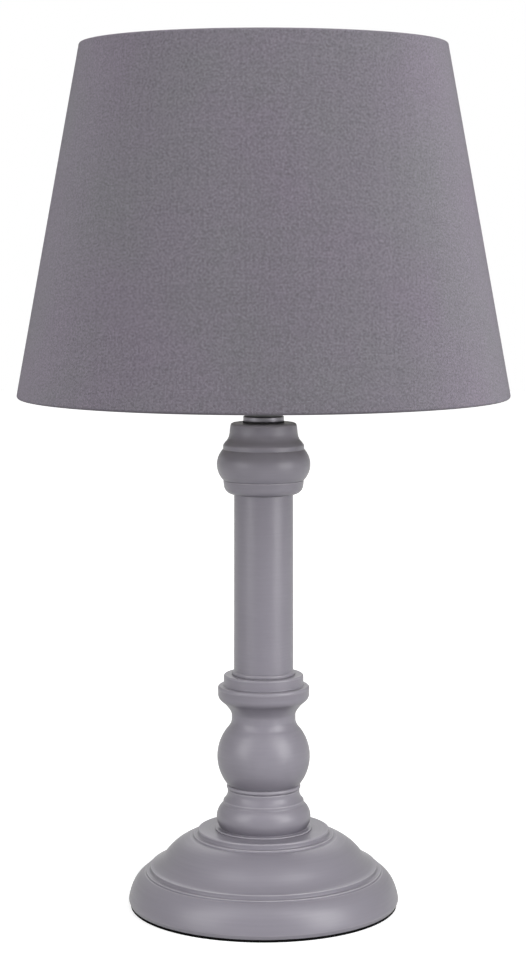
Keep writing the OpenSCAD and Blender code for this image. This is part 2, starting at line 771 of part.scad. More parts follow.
// The tube that pulls the stem together, threaded at both ends
module threaded_tube() {
    root = tube_d / 2 - tube_thread / 2;
    low_end = hollow_z;
    high_start = column_washer_z;
    outer = concat(
        [[root, tube_z]], waves(root, tube_thread, tube_pitch, tube_z, low_end), [[root, low_end]],
        [[tube_d / 2, low_end], [tube_d / 2, high_start], [root, high_start]],
        waves(root, tube_thread, tube_pitch, high_start, tube_top_z), [[root, tube_top_z]]
    );
    color("#b9b9bd") turned(concat([[tube_bore_d / 2, tube_z]], outer, [[tube_bore_d / 2, tube_top_z]]));
}

module foot_washer() {
    color("#b4b4b8") washer(foot_washer_d, tube_d + 2 * fit_gap, foot_washer_t, washer_z);
}

module foot_nut() {
    color("#b4b4b8") nut(foot_nut_z);
}

module column_washer() {
    color("#b4b4b8") washer(top_washer_d, tube_d + 2 * fit_gap, top_washer_t, column_washer_z);
}

module column_nut() {
    color("#b4b4b8") nut(column_nut_z);
}

module neck_washer() {
    color("#1a1a1c") washer(neck_washer_d, tube_d + 2 * fit_gap, neck_washer_t, cap_top_z);
}

module neck_collar() {
    r = neck_collar_d / 2;
    e = neck_collar_round;
    low = [r - e, neck_collar_z];
    low_edge = [r, neck_collar_z + e];
    high_edge = [r, holder_z - e];
    high = [r - e, holder_z];
    bore_r = tube_d / 2 + fit_gap;
    color("#8f8f92") turned(concat(
        [[bore_r, neck_collar_z], low], bow(low, low_edge, quarter_share),
        [low_edge, high_edge], bow(high_edge, high, quarter_share),
        [high, [bore_r, holder_z]]
    ));
}

module grub_place() {
    translate([0, 0, holder_z + holder_neck_h / 2]) rotate([-90, 0, 0]) children();
}

module holder_cap() {
    neck_r = holder_neck_d / 2;
    out_r = holder_cap_d / 2;
    bore_r = tube_d / 2 + fit_gap;
    color("#1b1b1d") difference() {
        turned([
            [bore_r, holder_z], [neck_r, holder_z], [neck_r, holder_cone_z], [out_r, cone_top_z],
            [out_r, skirt_z], [cap_in_r, skirt_z], [cap_in_r, cone_in_z],
            [cone_in_r, holder_floor_z], [bore_r, holder_floor_z]
        ]);
        grub_place() cylinder(d = grub_d + 2 * fit_gap, h = neck_r + over);
    }
}

module grub_screw() {
    start = tube_d / 2 + fit_gap;
    finish = holder_neck_d / 2 - grub_sink;
    color("#9a9a9e") grub_place() difference() {
        translate([0, 0, start]) cylinder(d = grub_d, h = finish - start);
        translate([0, 0, finish - grub_socket_h])
            cylinder(d = grub_socket_d, h = grub_socket_h + over, $fn = 6);
    }
}

module terminal_block() {
    color("#e6e2d8") difference() {
        translate([0, 0, block_z]) cylinder(d = block_d, h = block_h);
        for (x = [-live_rivet_x, neutral_rivet_x])
            translate([x, 0, 0]) hole(rivet_d + 2 * fit_gap, block_z - over, block_top_z + over);
    }
}

// A brass terminal under the block, with a hole for its screw that points away from the axis
module terminal(x) {
    side = sign(x);
    difference() {
        translate([x - terminal_w / 2, -terminal_l / 2, block_z - terminal_h])
            cube([terminal_w, terminal_l, terminal_h]);
        translate([x, 0, screw_z]) rotate([0, side * 90, 0])
            cylinder(d = screw_d + 2 * fit_gap, h = terminal_w);
    }
}

module live_terminal() {
    color("#c9a24b") terminal(-live_x);
}

module neutral_terminal() {
    color("#c9a24b") terminal(neutral_x);
}

module terminal_screws() {
    color("#c2c2c6") for (x = [-live_x, neutral_x])
        translate([x, 0, screw_z]) rotate([0, sign(x) * 90, 0]) difference() {
            union() {
                translate([0, 0, fit_gap]) cylinder(d = screw_d, h = terminal_w / 2);
                translate([0, 0, terminal_w / 2]) cylinder(d = screw_head_d, h = screw_head_h);
            }
            translate([-screw_slot_w / 2, -screw_head_d, terminal_w / 2 + screw_head_h / 2])
                cube([screw_slot_w, 2 * screw_head_d, screw_head_h]);
        }
}

// One rivet through the block, with its head on the leaf or on the shell's floor
module rivet(x, seat) {
    translate([x, 0, block_z]) cylinder(d = rivet_d, h = block_h + seat);
    translate([x, 0, block_top_z + seat]) cylinder(d = rivet_head_d, h = rivet_head_h);
}

module contact_rivets() {
    color("#c9a24b") {
        rivet(-live_rivet_x, leaf_t);
        rivet(neutral_rivet_x, shell_t);
    }
}

// The brass leaf: flat at its rivet, then raised to the bulb's tip
module centre_contact() {
    start = -shell_hole_d / 2 + leaf_t;
    foot_end = -live_rivet_x + rivet_head_d / 2 + leaf_t;
    top_start = foot_end + leaf_rise;
    top_end = tip_d / 4;
    end_drop = leaf_rise / 2;
    low_side = leaf_rise - leaf_t;
    color("#d0a850") difference() {
        translate([0, leaf_w / 2, block_top_z]) rotate([90, 0, 0]) linear_extrude(leaf_w) polygon([
            [start, 0], [foot_end, 0], [top_start, low_side], [top_end, low_side],
            [top_end + end_drop, low_side - end_drop], [top_end + end_drop + leaf_t, leaf_rise - end_drop],
            [top_end, leaf_rise], [top_start - leaf_t / 2, leaf_rise], [foot_end - leaf_t / 2, leaf_t],
            [start, leaf_t]
        ]);
        translate([-live_rivet_x, 0, 0]) hole(rivet_d + 2 * fit_gap, block_z, block_top_z + leaf_rise);
    }
}

// The threaded shell: a wavy wall on a flat floor with a wide hole
module screw_shell() {
    floor_r = shell_hole_d / 2;
    low_z = block_top_z + shell_t;
    top_z = block_top_z + shell_h;
    inner = concat(
        [[shell_r, low_z]], waves(shell_r, bulb_thread, bulb_pitch, low_z, top_z), [[shell_r, top_z]]
    );
    outer = [for (p = inner) [p[0] + shell_t, p[1]]];
    color("#c6a252") difference() {
        turned(concat(
            [[floor_r, block_top_z], [shell_r + shell_t, block_top_z]],
            outer, reversed(inner), [[floor_r, low_z]]
        ));
        translate([neutral_rivet_x, 0, 0]) hole(rivet_d + 2 * fit_gap, block_z, low_z + over);
    }
}

// The skirt: a spigot in the cap, the seat flange and the thread for the retaining ring
module holder_skirt() {
    bore_r = skirt_bore_d / 2;
    spigot_r = cap_in_r - fit_gap;
    root = skirt_d / 2 - skirt_thread / 2;
    edge_z = skirt_top_z - skirt_pitch / 2;
    color("#1b1b1d") turned(concat(
        [[bore_r, skirt_z - skirt_spigot_h], [spigot_r, skirt_z - skirt_spigot_h], [spigot_r, skirt_z]],
        [[holder_cap_d / 2, skirt_z], [holder_cap_d / 2, seat_z - seat_t], [seat_d / 2, seat_z - seat_t]],
        [[seat_d / 2, seat_z], [root, seat_z]], waves(root, skirt_thread, skirt_pitch, clamp_z, edge_z),
        [[root, edge_z], [root, skirt_top_z], [bore_r, skirt_top_z]]
    ));
}

// The ring that clamps the shade: a flange and a sleeve with grip ribs
module retaining_ring() {
    bore_d = skirt_d + 2 * clamp_gap;
    color("#1b1b1d") difference() {
        union() {
            translate([0, 0, clamp_z]) cylinder(d = clamp_flange_d, h = clamp_flange_t);
            translate([0, 0, clamp_z]) cylinder(d = clamp_d, h = clamp_h);
            for (i = [0:clamp_ribs - 1]) rotate([0, 0, i * 360 / clamp_ribs])
                translate([clamp_d / 2, 0, clamp_z]) cylinder(d = clamp_rib_d, h = clamp_h);
        }
        hole(bore_d, clamp_z - over, clamp_z + clamp_h + over);
    }
}

// One straight spoke from inside the fitter ring to the lower wire's centre
module spoke(d) {
    start = [fitter_d / 2 - fitter_t, seat_z + fitter_t / 2];
    way = wire_low - start;
    translate([start[0], 0, start[1]]) rotate([0, 90 - atan2(way[1], way[0]), 0])
        cylinder(d = d, h = norm(way));
}

module spoke_places() {
    for (i = [0:spoke_count - 1]) rotate([0, 0, 90 + i * 360 / spoke_count]) children();
}

// A wire ring in one of the shade's edges
module wire(place) {
    rotate_extrude() translate(place) circle(d = wire_d, $fn = 32);
}

// The shade's wall drawn in its own plane: x outwards from the line between the wires, y up along it
module wall_place() {
    translate(wire_low) rotate(wall_lean) children();
}

// A strip of the wall between two distances x and two heights y
module strip(x0, x1, y0, y1) {
    polygon([[x0, y0], [x1, y0], [x1, y1], [x0, y1]]);
}

// Points of the fabric round a wire, from the outside down and in to where it leaves the wire
function rolled(r) =
    [for (i = [0:roll_steps]) let (a = -i * roll_angle / roll_steps) r * [cos(a), sin(a)]];

// The fabric: an outer wall whose edges roll over both wires and end on the liner, with a lap at the back
module shade_cover() {
    edge = concat(
        rolled(roll_r), [[hem_in, land_y], [hem_in, hem_h], [liner_in, hem_h], land],
        reversed(rolled(roll_in))
    );
    high_edge = [for (p = reversed(edge)) [p[0], wall_l - p[1]]];
    lap_angle = lap_w / shade_d * 2 * 180 / PI;
    color("#757178") difference() {
        union() {
            rotate_extrude() wall_place() polygon(concat(edge, high_edge));
            rotate([0, 0, 90 - lap_angle / 2]) rotate_extrude(angle = lap_angle)
                wall_place() strip(roll_r, roll_r + cloth_t, lap_inset, wall_l - lap_inset);
        }
        spoke_places() spoke(spoke_d + 2 * spoke_gap);
    }
}

module shade_liner() {
    color("#ece9e2") rotate_extrude() wall_place()
        strip(liner_in, cloth_in, liner_start, wall_l - liner_start);
}

module top_wire() {
    color("#dcdcdc") wire(wire_high);
}

module bottom_wire() {
    color("#dcdcdc") wire(wire_low);
}

module fitter_ring() {
    color("#dcdcdc") washer(fitter_d, fitter_bore_d, fitter_t, seat_z);
}

module spokes() {
    color("#dcdcdc") difference() {
        spoke_places() spoke(spoke_d);
        hole(fitter_d, seat_z - spoke_d, seat_z + fitter_t + spoke_d);
        wire(wire_low);
    }
}

module bulb_tip() {
    color("#b8b8ba") translate([0, 0, bulb_z]) cylinder(d = tip_d, h = tip_h);
}

module bulb_insulator() {
    top_z = insulator_z + insulator_h;
    high_r = insulator_high_d / 2;
    color("#141416") difference() {
        turned([
            [0, insulator_z], [insulator_low_d / 2, insulator_z],
            [high_r, top_z - bulb_cap_t], [high_r, top_z],
            [0, top_z]
        ]);
        hole(tip_d + 2 * fit_gap, bulb_z, bulb_z + tip_h);
    }
}

// The bulb's threaded cap, open above and closed below by the insulator
module bulb_cap() {
    outer = concat(
        [[thread_r, bulb_shell_z]], waves(thread_r, bulb_thread, bulb_pitch, bulb_shell_z, housing_z),
        [[thread_r, housing_z]]
    );
    inner = [for (p = outer) [p[0] - bulb_cap_t, p[1]]];
    lip_r = insulator_high_d / 2 + fit_gap;
    color("#c8c8cb") turned(concat(
        [[lip_r, bulb_shell_z - bulb_cap_t], [thread_r, bulb_shell_z - bulb_cap_t]],
        outer, reversed(inner), [[lip_r, bulb_shell_z]]
    ));
}

module bulb_housing() {
    low_r = housing_low_d / 2;
    out_r = bulb_d / 2 - dome_t / 2;
    flare_z = housing_z + housing_flare_h;
    color("#efefec") turned([
        [thread_r - bulb_thread, housing_z], [low_r, housing_z], [out_r, flare_z], [out_r, led_z],
        [out_r - housing_t, led_z], [out_r - housing_t, flare_z],
        [low_r - housing_t, housing_z + housing_t],
        [thread_r - bulb_thread, housing_z + housing_t]
    ]);
}

// The opal dome: widest above the housing, then drawn in to a rounded point
module bulb_dome() {
    foot = [bulb_d / 2 - dome_t / 2, led_z];
    wide = [bulb_d / 2, led_z + dome_wide_h];
    point = [dome_point_d / 2, dome_point_z];
    top = [0, bulb_top_z];
    outer = concat(
        [foot], bow(foot, wide, soft_share / 3),
        [wide], upright(wide, point),
        [point], bow(point, top, point_share)
    );
    inner = [for (p = outer) [max(p[0] - dome_t, 0), p[1]]];
    color("#f4f3ee") turned(concat(
        outer, [top, [0, bulb_top_z - dome_t]], [for (p = reversed(inner)) if (p[0] > dome_t) [p[0], p[1]]]
    ));
}

module led_board() {
    r = bulb_d / 2 - dome_t / 2 - housing_t - seat_gap;
    color("#e9e9e6") translate([0, 0, led_z - board_t]) cylinder(r = r, h = board_t);
}

module led_chips() {
    color("#e8cf5a") for (i = [0:chip_count - 1]) rotate([0, 0, i * 360 / chip_count])
        translate([chip_circle_d / 2 - chip_w / 2, -chip_w / 2, led_z]) cube([chip_w, chip_w, chip_t]);
}

module driver_board() {
    color("#2f6b43") translate([-driver_w / 2, -board_t / 2, led_z - board_t - driver_h])
        cube([driver_w, board_t, driver_h]);
}

base_pad();
foot();
baluster();
shaft();
capital();
threaded_tube();
foot_washer();
foot_nut();
column_washer();
column_nut();
inlet_bush();
neck_washer();
neck_collar();
holder_cap();
grub_screw();
terminal_block();
live_terminal();
neutral_terminal();
terminal_screws();
contact_rivets();
centre_contact();
screw_shell();
holder_skirt();
retaining_ring();
shade_cover();
shade_liner();
top_wire();
bottom_wire();
fitter_ring();
spokes();
bulb_tip();
bulb_insulator();
bulb_cap();
bulb_housing();
bulb_dome();
led_board();
led_chips();
driver_board();
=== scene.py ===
import bpy
import math
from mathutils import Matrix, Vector
from mathutils.kdtree import KDTree


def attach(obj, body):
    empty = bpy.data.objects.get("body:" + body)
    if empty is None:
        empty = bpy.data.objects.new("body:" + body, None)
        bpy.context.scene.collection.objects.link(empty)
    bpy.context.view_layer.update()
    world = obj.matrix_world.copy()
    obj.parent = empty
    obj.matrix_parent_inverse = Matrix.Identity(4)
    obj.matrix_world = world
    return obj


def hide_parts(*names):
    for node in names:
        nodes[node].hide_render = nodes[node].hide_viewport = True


print("lamp: loading the frame")
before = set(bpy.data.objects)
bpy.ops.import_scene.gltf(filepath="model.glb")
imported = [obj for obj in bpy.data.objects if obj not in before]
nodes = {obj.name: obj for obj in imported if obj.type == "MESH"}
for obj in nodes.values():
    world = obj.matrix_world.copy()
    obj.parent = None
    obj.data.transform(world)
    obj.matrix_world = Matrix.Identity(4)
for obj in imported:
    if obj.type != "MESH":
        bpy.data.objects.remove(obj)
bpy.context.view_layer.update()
mm = 0.001

camera = {
    "back": 1182.33,  # mm from the lamp's axis
    "aside": -0.3,  # mm to the right of it
    "height": 345.17,  # mm above the table
    "down": 6.1007,  # degrees below the horizon
    "lens": 86.405,
    "sensor": 36.0,
}

bpy.ops.object.camera_add(
    location=(camera["aside"] * mm, -camera["back"] * mm, camera["height"] * mm),
    rotation=(math.radians(90 - camera["down"]), 0, 0),
)
lampCamera = bpy.context.active_object
lampCamera.name = "lampCamera"
lampCamera.data.sensor_width = camera["sensor"]
lampCamera.data.lens = camera["lens"]
lampCamera.data.clip_end = 50
bpy.context.scene.camera = lampCamera
print("lamp: camera set")


# An outline is a list of points (r, z) in millimetres. A stop with a third number bows on its way
# to the next stop, by that share of the distance, to the right of the way.

def arc(start, end, share, turn=3.0):
    dr, dz = end[0] - start[0], end[1] - start[1]
    chord = math.hypot(dr, dz)
    rise = chord * share
    radius = (chord * chord / 4 + rise * rise) / (2 * rise)
    half = 2 * math.atan(2 * abs(share))
    count = max(3, math.ceil(math.degrees(2 * half) / turn))
    along = (dr / chord, dz / chord)
    side = (along[1], -along[0])
    middle = ((start[0] + end[0]) / 2, (start[1] + end[1]) / 2)
    centre = (middle[0] + side[0] * (rise - radius), middle[1] + side[1] * (rise - radius))
    points = []
    for i in range(1, count):
        a = half * (2 * i / count - 1)
        across, forward = radius * math.cos(a), abs(radius) * math.sin(a)
        points.append((
            centre[0] + side[0] * across + along[0] * forward,
            centre[1] + side[1] * across + along[1] * forward,
        ))
    return points


def bulge(low, high, widest):  # the share that takes an upright arc out to a widest radius
    return (widest - (low[0] + high[0]) / 2) / math.hypot(high[0] - low[0], high[1] - low[1])


def track(stops):
    path = []
    for i, stop in enumerate(stops):
        path.append((stop[0], stop[1]))
        if len(stop) > 2 and i + 1 < len(stops):
            path += arc(stop[:2], stops[i + 1][:2], stop[2])
    return path


# Rounds an outline's corners, its ends left out. Hollow corners may have a reach of their own.
def eased(path, reach, hollow=None, corner=20, bits=5):
    run = [0.0]
    for a, b in zip(path, path[1:]):
        run.append(run[-1] + math.hypot(b[0] - a[0], b[1] - a[1]))
    sharp = []
    for i in range(1, len(path) - 1):
        a = math.atan2(path[i][1] - path[i - 1][1], path[i][0] - path[i - 1][0])
        b = math.atan2(path[i + 1][1] - path[i][1], path[i + 1][0] - path[i][0])
        bend = (b - a + math.pi) % (2 * math.pi) - math.pi
        if abs(bend) > math.radians(corner):
            sharp.append((i, hollow if hollow and bend < 0 else reach))

    def at(s):
        for i in range(1, len(run)):
            if run[i] >= s:
                t = (s - run[i - 1]) / max(run[i] - run[i - 1], 1e-9)
                a, b = path[i - 1], path[i]
                return (a[0] + (b[0] - a[0]) * t, a[1] + (b[1] - a[1]) * t)
        return path[-1]

    stops = [run[0]] + [run[i] for i, _ in sharp] + [run[-1]]
    cuts = []
    for k, (i, wanted) in enumerate(sharp):
        room = 0.45 * min(stops[k + 1] - stops[k], stops[k + 2] - stops[k + 1])
        cuts.append((i, min(wanted, room)))
    rounded, last = [path[0]], 0.0
    for i, cut in cuts:
        begin, end = run[i] - cut, run[i] + cut
        rounded += [p for p, s in zip(path, run) if last + 1e-6 < s < begin - 1e-6]
        a, c, b = at(begin), path[i], at(end)
        for step in range(bits + 1):
            t = step / bits
            rounded.append((
                a[0] * (1 - t) ** 2 + 2 * c[0] * t * (1 - t) + b[0] * t ** 2,
                a[1] * (1 - t) ** 2 + 2 * c[1] * t * (1 - t) + b[1] * t ** 2,
            ))
        last = end
    rounded += [p for p, s in zip(path, run) if s > last + 1e-6]
    return rounded


def deselectAll():
    if bpy.context.object and bpy.context.object.mode != "OBJECT":
        bpy.ops.object.mode_set(mode="OBJECT")
    bpy.ops.object.select_all(action="DESELECT")


def pickOnly(piece):
    deselectAll()
    piece.select_set(True)
    bpy.context.view_layer.objects.active = piece


def turned(name, path, steps=160, smoothAngle=32):  # a closed outline turned about the lamp's axis
    deselectAll()
    bpy.ops.mesh.primitive_plane_add(size=mm, location=(0, 0, 0))
    piece = bpy.context.active_object
    piece.name = name
    bpy.ops.object.mode_set(mode="EDIT")
    bpy.ops.mesh.select_all(action="SELECT")
    bpy.ops.mesh.merge(type="CENTER")
    bpy.ops.transform.translate(value=(path[0][0] * mm, 0, path[0][1] * mm))
    for a, b in zip(path, path[1:] + path[:1]):
        bpy.ops.mesh.extrude_region_move(
            TRANSFORM_OT_translate={"value": ((b[0] - a[0]) * mm, 0, (b[1] - a[1]) * mm)}
        )
    bpy.ops.mesh.select_all(action="SELECT")
    bpy.ops.mesh.remove_doubles(threshold=0.0005 * mm)
    bpy.ops.mesh.select_all(action="SELECT")
    bpy.ops.mesh.spin(steps=steps, angle=2 * math.pi, center=(0, 0, 0), axis=(0, 0, 1))
    bpy.ops.mesh.select_all(action="SELECT")
    bpy.ops.mesh.remove_doubles(threshold=0.0005 * mm)
    bpy.ops.mesh.normals_make_consistent(inside=False)
    bpy.ops.object.mode_set(mode="OBJECT")
    smooth(piece, smoothAngle)
    return piece


def smooth(piece, angle=32):
    pickOnly(piece)
    bpy.ops.object.shade_smooth_by_angle(angle=math.radians(angle))


def nearestOn(path):  # finds which point of its outline lies nearest to a place on a turned piece
    spots = KDTree(len(path))
    for i, (r, z) in enumerate(path):
        spots.insert((r * mm, z * mm, 0), i)
    spots.balance()
    return lambda place: spots.find((math.hypot(place.x, place.y), place.z, 0))[1]


def markEdges(piece, path, reach=0.35):  # how sharply the outline bends: 1 on an edge, -1 in a corner
    bends = []
    for i, (r, z) in enumerate(path):
        before, after = path[i - 1], path[(i + 1) % len(path)]
        a = math.atan2(z - before[1], r - before[0])
        b = math.atan2(after[1] - z, after[0] - r)
        length = (math.hypot(r - before[0], z - before[1]) + math.hypot(after[0] - r, after[1] - z)) / 2
        bend = (b - a + math.pi) % (2 * math.pi) - math.pi
        bends.append(max(-1.0, min(1.0, bend / max(length, 0.02) * reach)))
    nearest = nearestOn(path)
    edge = piece.data.attributes.new("edge", "FLOAT", "POINT")
    for vertex in piece.data.vertices:
        edge.data[vertex.index].value = bends[nearest(vertex.co)]


def around(radius, degrees, height):  # a place about the lamp's axis, from its right
    return (radius * math.cos(math.radians(degrees)), radius * math.sin(math.radians(degrees)), height)


def rod(name, start, end, radius, sides):  # a round rod between two points in mm
    a, b = Vector(start) * mm, Vector(end) * mm
    deselectAll()
    bpy.ops.mesh.primitive_cylinder_add(vertices=sides, radius=radius * mm, depth=(b - a).length)
    piece = bpy.context.active_object
    piece.name = name
    piece.rotation_euler = (b - a).to_track_quat("Z", "Y").to_euler()
    piece.location = (a + b) / 2
    settle(piece)
    return piece


def settle(piece):  # puts a piece's place into its mesh
    pickOnly(piece)
    bpy.ops.object.transform_apply(location=True, rotation=True, scale=True)


def softEdges(piece, width, segments=2, angle=35):
    pickOnly(piece)
    bevel = piece.modifiers.new("softEdges", "BEVEL")
    bevel.width = width * mm
    bevel.segments = segments
    bevel.limit_method = "ANGLE"
    bevel.angle_limit = math.radians(angle)
    bpy.ops.object.modifier_apply(modifier=bevel.name)
    smooth(piece, 40)


def cutAway(piece, cutter):
    pickOnly(piece)
    cut = piece.modifiers.new("cutAway", "BOOLEAN")
    cut.operation = "DIFFERENCE"
    cut.solver = "EXACT"
    cut.object = cutter
    bpy.ops.object.modifier_apply(modifier=cut.name)
    bpy.data.objects.remove(cutter)


def joined(name, parts):
    deselectAll()
    for part in parts:
        part.select_set(True)
    bpy.context.view_layer.objects.active = parts[0]
    bpy.ops.object.join()
    piece = bpy.context.active_object
    piece.name = name
    return piece


def dress(piece, material, body, slot, *stands):
    piece.data.materials.clear()
    piece.data.materials.append(material)
    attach(piece, body)
    if stands:
        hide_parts(*stands)


def dressNode(name, material):
    node = nodes[name]
    if not node.material_slots:
        node.data.materials.append(material)
    for spot in node.material_slots:
        spot.material = material


# A socket's kind follows from its value: none is a vector, four numbers are a colour
def newGroup(name, inputs, outputs):
    group = bpy.data.node_groups.new(name, "ShaderNodeTree")
    for label, value in inputs.items():
        kind = "Vector" if value is None else "Color" if isinstance(value, tuple) else "Float"
        socket = group.interface.new_socket(label, in_out="INPUT", socket_type="NodeSocket" + kind)
        if value is not None:
            socket.default_value = value
    for label in outputs:
        kind = "Color" if label == "Color" else "Float"
        group.interface.new_socket(label, in_out="OUTPUT", socket_type="NodeSocket" + kind)
    return group, group.nodes.new("NodeGroupInput").outputs, group.nodes.new("NodeGroupOutput").inputs


def wire(tree, socket, source):  # a source is a socket to link or a plain value
    if isinstance(source, bpy.types.NodeSocket):
        tree.links.new(socket, source)
    elif source is not None:
        socket.default_value = source


def maths(tree, operation, a, b=None, c=None, clamp=False):
    node = tree.nodes.new("ShaderNodeMath")
    node.operation = operation
    node.use_clamp = clamp
    for socket, source in zip(node.inputs, (a, b, c)):
        wire(tree, socket, source)
    return node.outputs[0]


def vectorMaths(tree, operation, a, b=None):
    node = tree.nodes.new("ShaderNodeVectorMath")
    node.operation = operation
    wire(tree, node.inputs[0], a)
    wire(tree, node.inputs[1], b)
    return node.outputs[0]


def noise(tree, vector, scale, detail=2.0, roughness=0.5):
    node = tree.nodes.new("ShaderNodeTexNoise")
    wire(tree, node.inputs["Vector"], vector)
    wire(tree, node.inputs["Scale"], scale)
    node.inputs["Detail"].default_value = detail
    node.inputs["Roughness"].default_value = roughness
    return node.outputs[0]


def swing(tree, value, gain):  # takes a value from 0 to 1 to both sides of zero
    return maths(tree, "MULTIPLY", maths(tree, "SUBTRACT", value, 0.5), gain)


def contrast(tree, value, gain, clamp=False):
    return maths(tree, "MULTIPLY_ADD", maths(tree, "SUBTRACT", value, 0.5), gain, 0.5, clamp=clamp)


def fromAxis(tree, x, y):
    squares = maths(tree, "ADD", maths(tree, "MULTIPLY", x, x), maths(tree, "MULTIPLY", y, y))
    return maths(tree, "SQRT", squares)


def mixed(tree, factor, a, b, blend="MIX"):
    node = tree.nodes.new("ShaderNodeMix")
    node.data_type = "RGBA"
    node.blend_type = blend
    wire(tree, node.inputs[0], factor)
    wire(tree, node.inputs[6], a)
    wire(tree, node.inputs[7], b)
    return node.outputs[2]


def split(tree, vector):
    node = tree.nodes.new("ShaderNodeSeparateXYZ")
    wire(tree, node.inputs[0], vector)
    return node.outputs


def combine(tree, x, y, z):
    node = tree.nodes.new("ShaderNodeCombineXYZ")
    for socket, source in zip(node.inputs, (x, y, z)):
        wire(tree, socket, source)
    return node.outputs[0]


def upward(tree):  # 1 on a level face, 0 on an upright one, -1 on one that looks down
    return split(tree, tree.nodes.new("ShaderNodeNewGeometry").outputs["Normal"])[2]


def aslant(tree):  # 0 where a face looks at the eye, 1 at its outline
    weight = tree.nodes.new("ShaderNodeLayerWeight")
    weight.inputs["Blend"].default_value = 0.5
    return weight.outputs["Facing"]


def seenDirectly(tree):  # 1 for what the camera sees, also in a reflection or through glass
    path = tree.nodes.new("ShaderNodeLightPath")
    seen = maths(tree, "MAXIMUM", path.outputs["Is Camera Ray"], path.outputs["Is Glossy Ray"])
    return maths(tree, "MAXIMUM", seen, path.outputs["Is Transmission Ray"])


def newMaterial(name, **sockets):
    material = bpy.data.materials.new(name)
    material.use_nodes = True
    tree = material.node_tree
    bsdf = tree.nodes["Principled BSDF"]
    for label, value in sockets.items():
        bsdf.inputs[label.replace("_", " ")].default_value = value
    return material, tree, bsdf


def place(tree, group, **values):
    node = tree.nodes.new("ShaderNodeGroup")
    node.node_tree = group
    for label, value in values.items():
        wire(tree, node.inputs[label.replace("_", " ")], value)
    return node


def coordinates(tree, kind="Object"):
    return tree.nodes.new("ShaderNodeTexCoord").outputs[kind]


def bumped(tree, bsdf, height, strength, distance):  # the distance is in mm
    bump = tree.nodes.new("ShaderNodeBump")
    bump.inputs["Strength"].default_value = strength
    bump.inputs["Distance"].default_value = distance * mm
    tree.links.new(bump.inputs["Height"], height)
    tree.links.new(bsdf.inputs["Normal"], bump.outputs[0])


def rgb(*levels):  # an sRGB colour from 0 to 255, as a linear one
    return tuple(((c / 255 + 0.055) / 1.055) ** 2.4 if c > 10 else c / 255 / 12.92 for c in levels) + (1.0,)


# Fine rings that a brush and the lathe leave around the axis, with slow changes of tone
def makeRings():
    group, given, result = newGroup("latheRings", {
        "Vector": None, "Color": (0.5, 0.5, 0.5, 1), "Second Color": (0.4, 0.4, 0.4, 1), "Rings": 900.0,
        "Ring Tone": 0.1, "Drift Scale": 14.0, "Base Roughness": 0.4, "Roughness Spread": 0.1,
    }, ("Color", "Roughness", "Height"))
    x, y, z = split(group, given["Vector"])
    turn = maths(group, "ABSOLUTE", maths(group, "ARCTAN2", y, x))
    around = combine(
        group, maths(group, "MULTIPLY", turn, 1.3),
        maths(group, "MULTIPLY", fromAxis(group, x, y), given["Rings"]),
        maths(group, "MULTIPLY", z, given["Rings"]),
    )
    rings = noise(group, around, 1.0, 3.0, 0.6)
    drift = noise(group, given["Vector"], given["Drift Scale"], 2.0, 0.5)
    fine = noise(group, given["Vector"], 1400.0, 1.0, 0.5)
    ringPart = swing(group, rings, given["Ring Tone"])
    tone = maths(group, "ADD", ringPart, contrast(group, drift, 1.6), clamp=True)
    group.links.new(result["Color"], mixed(group, tone, given["Color"], given["Second Color"]))
    spread = swing(group, rings, given["Roughness Spread"])
    group.links.new(result["Roughness"], maths(group, "ADD", given["Base Roughness"], spread))
    height = maths(group, "MULTIPLY_ADD", fine, 0.35, maths(group, "MULTIPLY", rings, 0.65))
    group.links.new(result["Height"], height)
    return group


# The grain of moulded plastic, powder coat or foam: a soft speckle in tone, roughness and height
def makeSpeckle():
    group, given, result = newGroup("softSpeckle", {
        "Vector": None, "Color": (0.5, 0.5, 0.5, 1), "Second Color": (0.4, 0.4, 0.4, 1), "Grain": 2000.0,
        "Cloud": 60.0, "Base Roughness": 0.5, "Roughness Spread": 0.2,
    }, ("Color", "Roughness", "Height"))
    grain = noise(group, given["Vector"], given["Grain"], 2.0, 0.6)
    cloud = noise(group, given["Vector"], given["Cloud"], 3.0, 0.5)
    both = maths(group, "MULTIPLY_ADD", grain, 0.4, maths(group, "MULTIPLY", cloud, 0.6))
    tone = contrast(group, both, 2.0, clamp=True)
    group.links.new(result["Color"], mixed(group, tone, given["Color"], given["Second Color"]))
    spread = swing(group, both, given["Roughness Spread"])
    group.links.new(result["Roughness"], maths(group, "ADD", given["Base Roughness"], spread))
    group.links.new(result["Height"], grain)
    return group


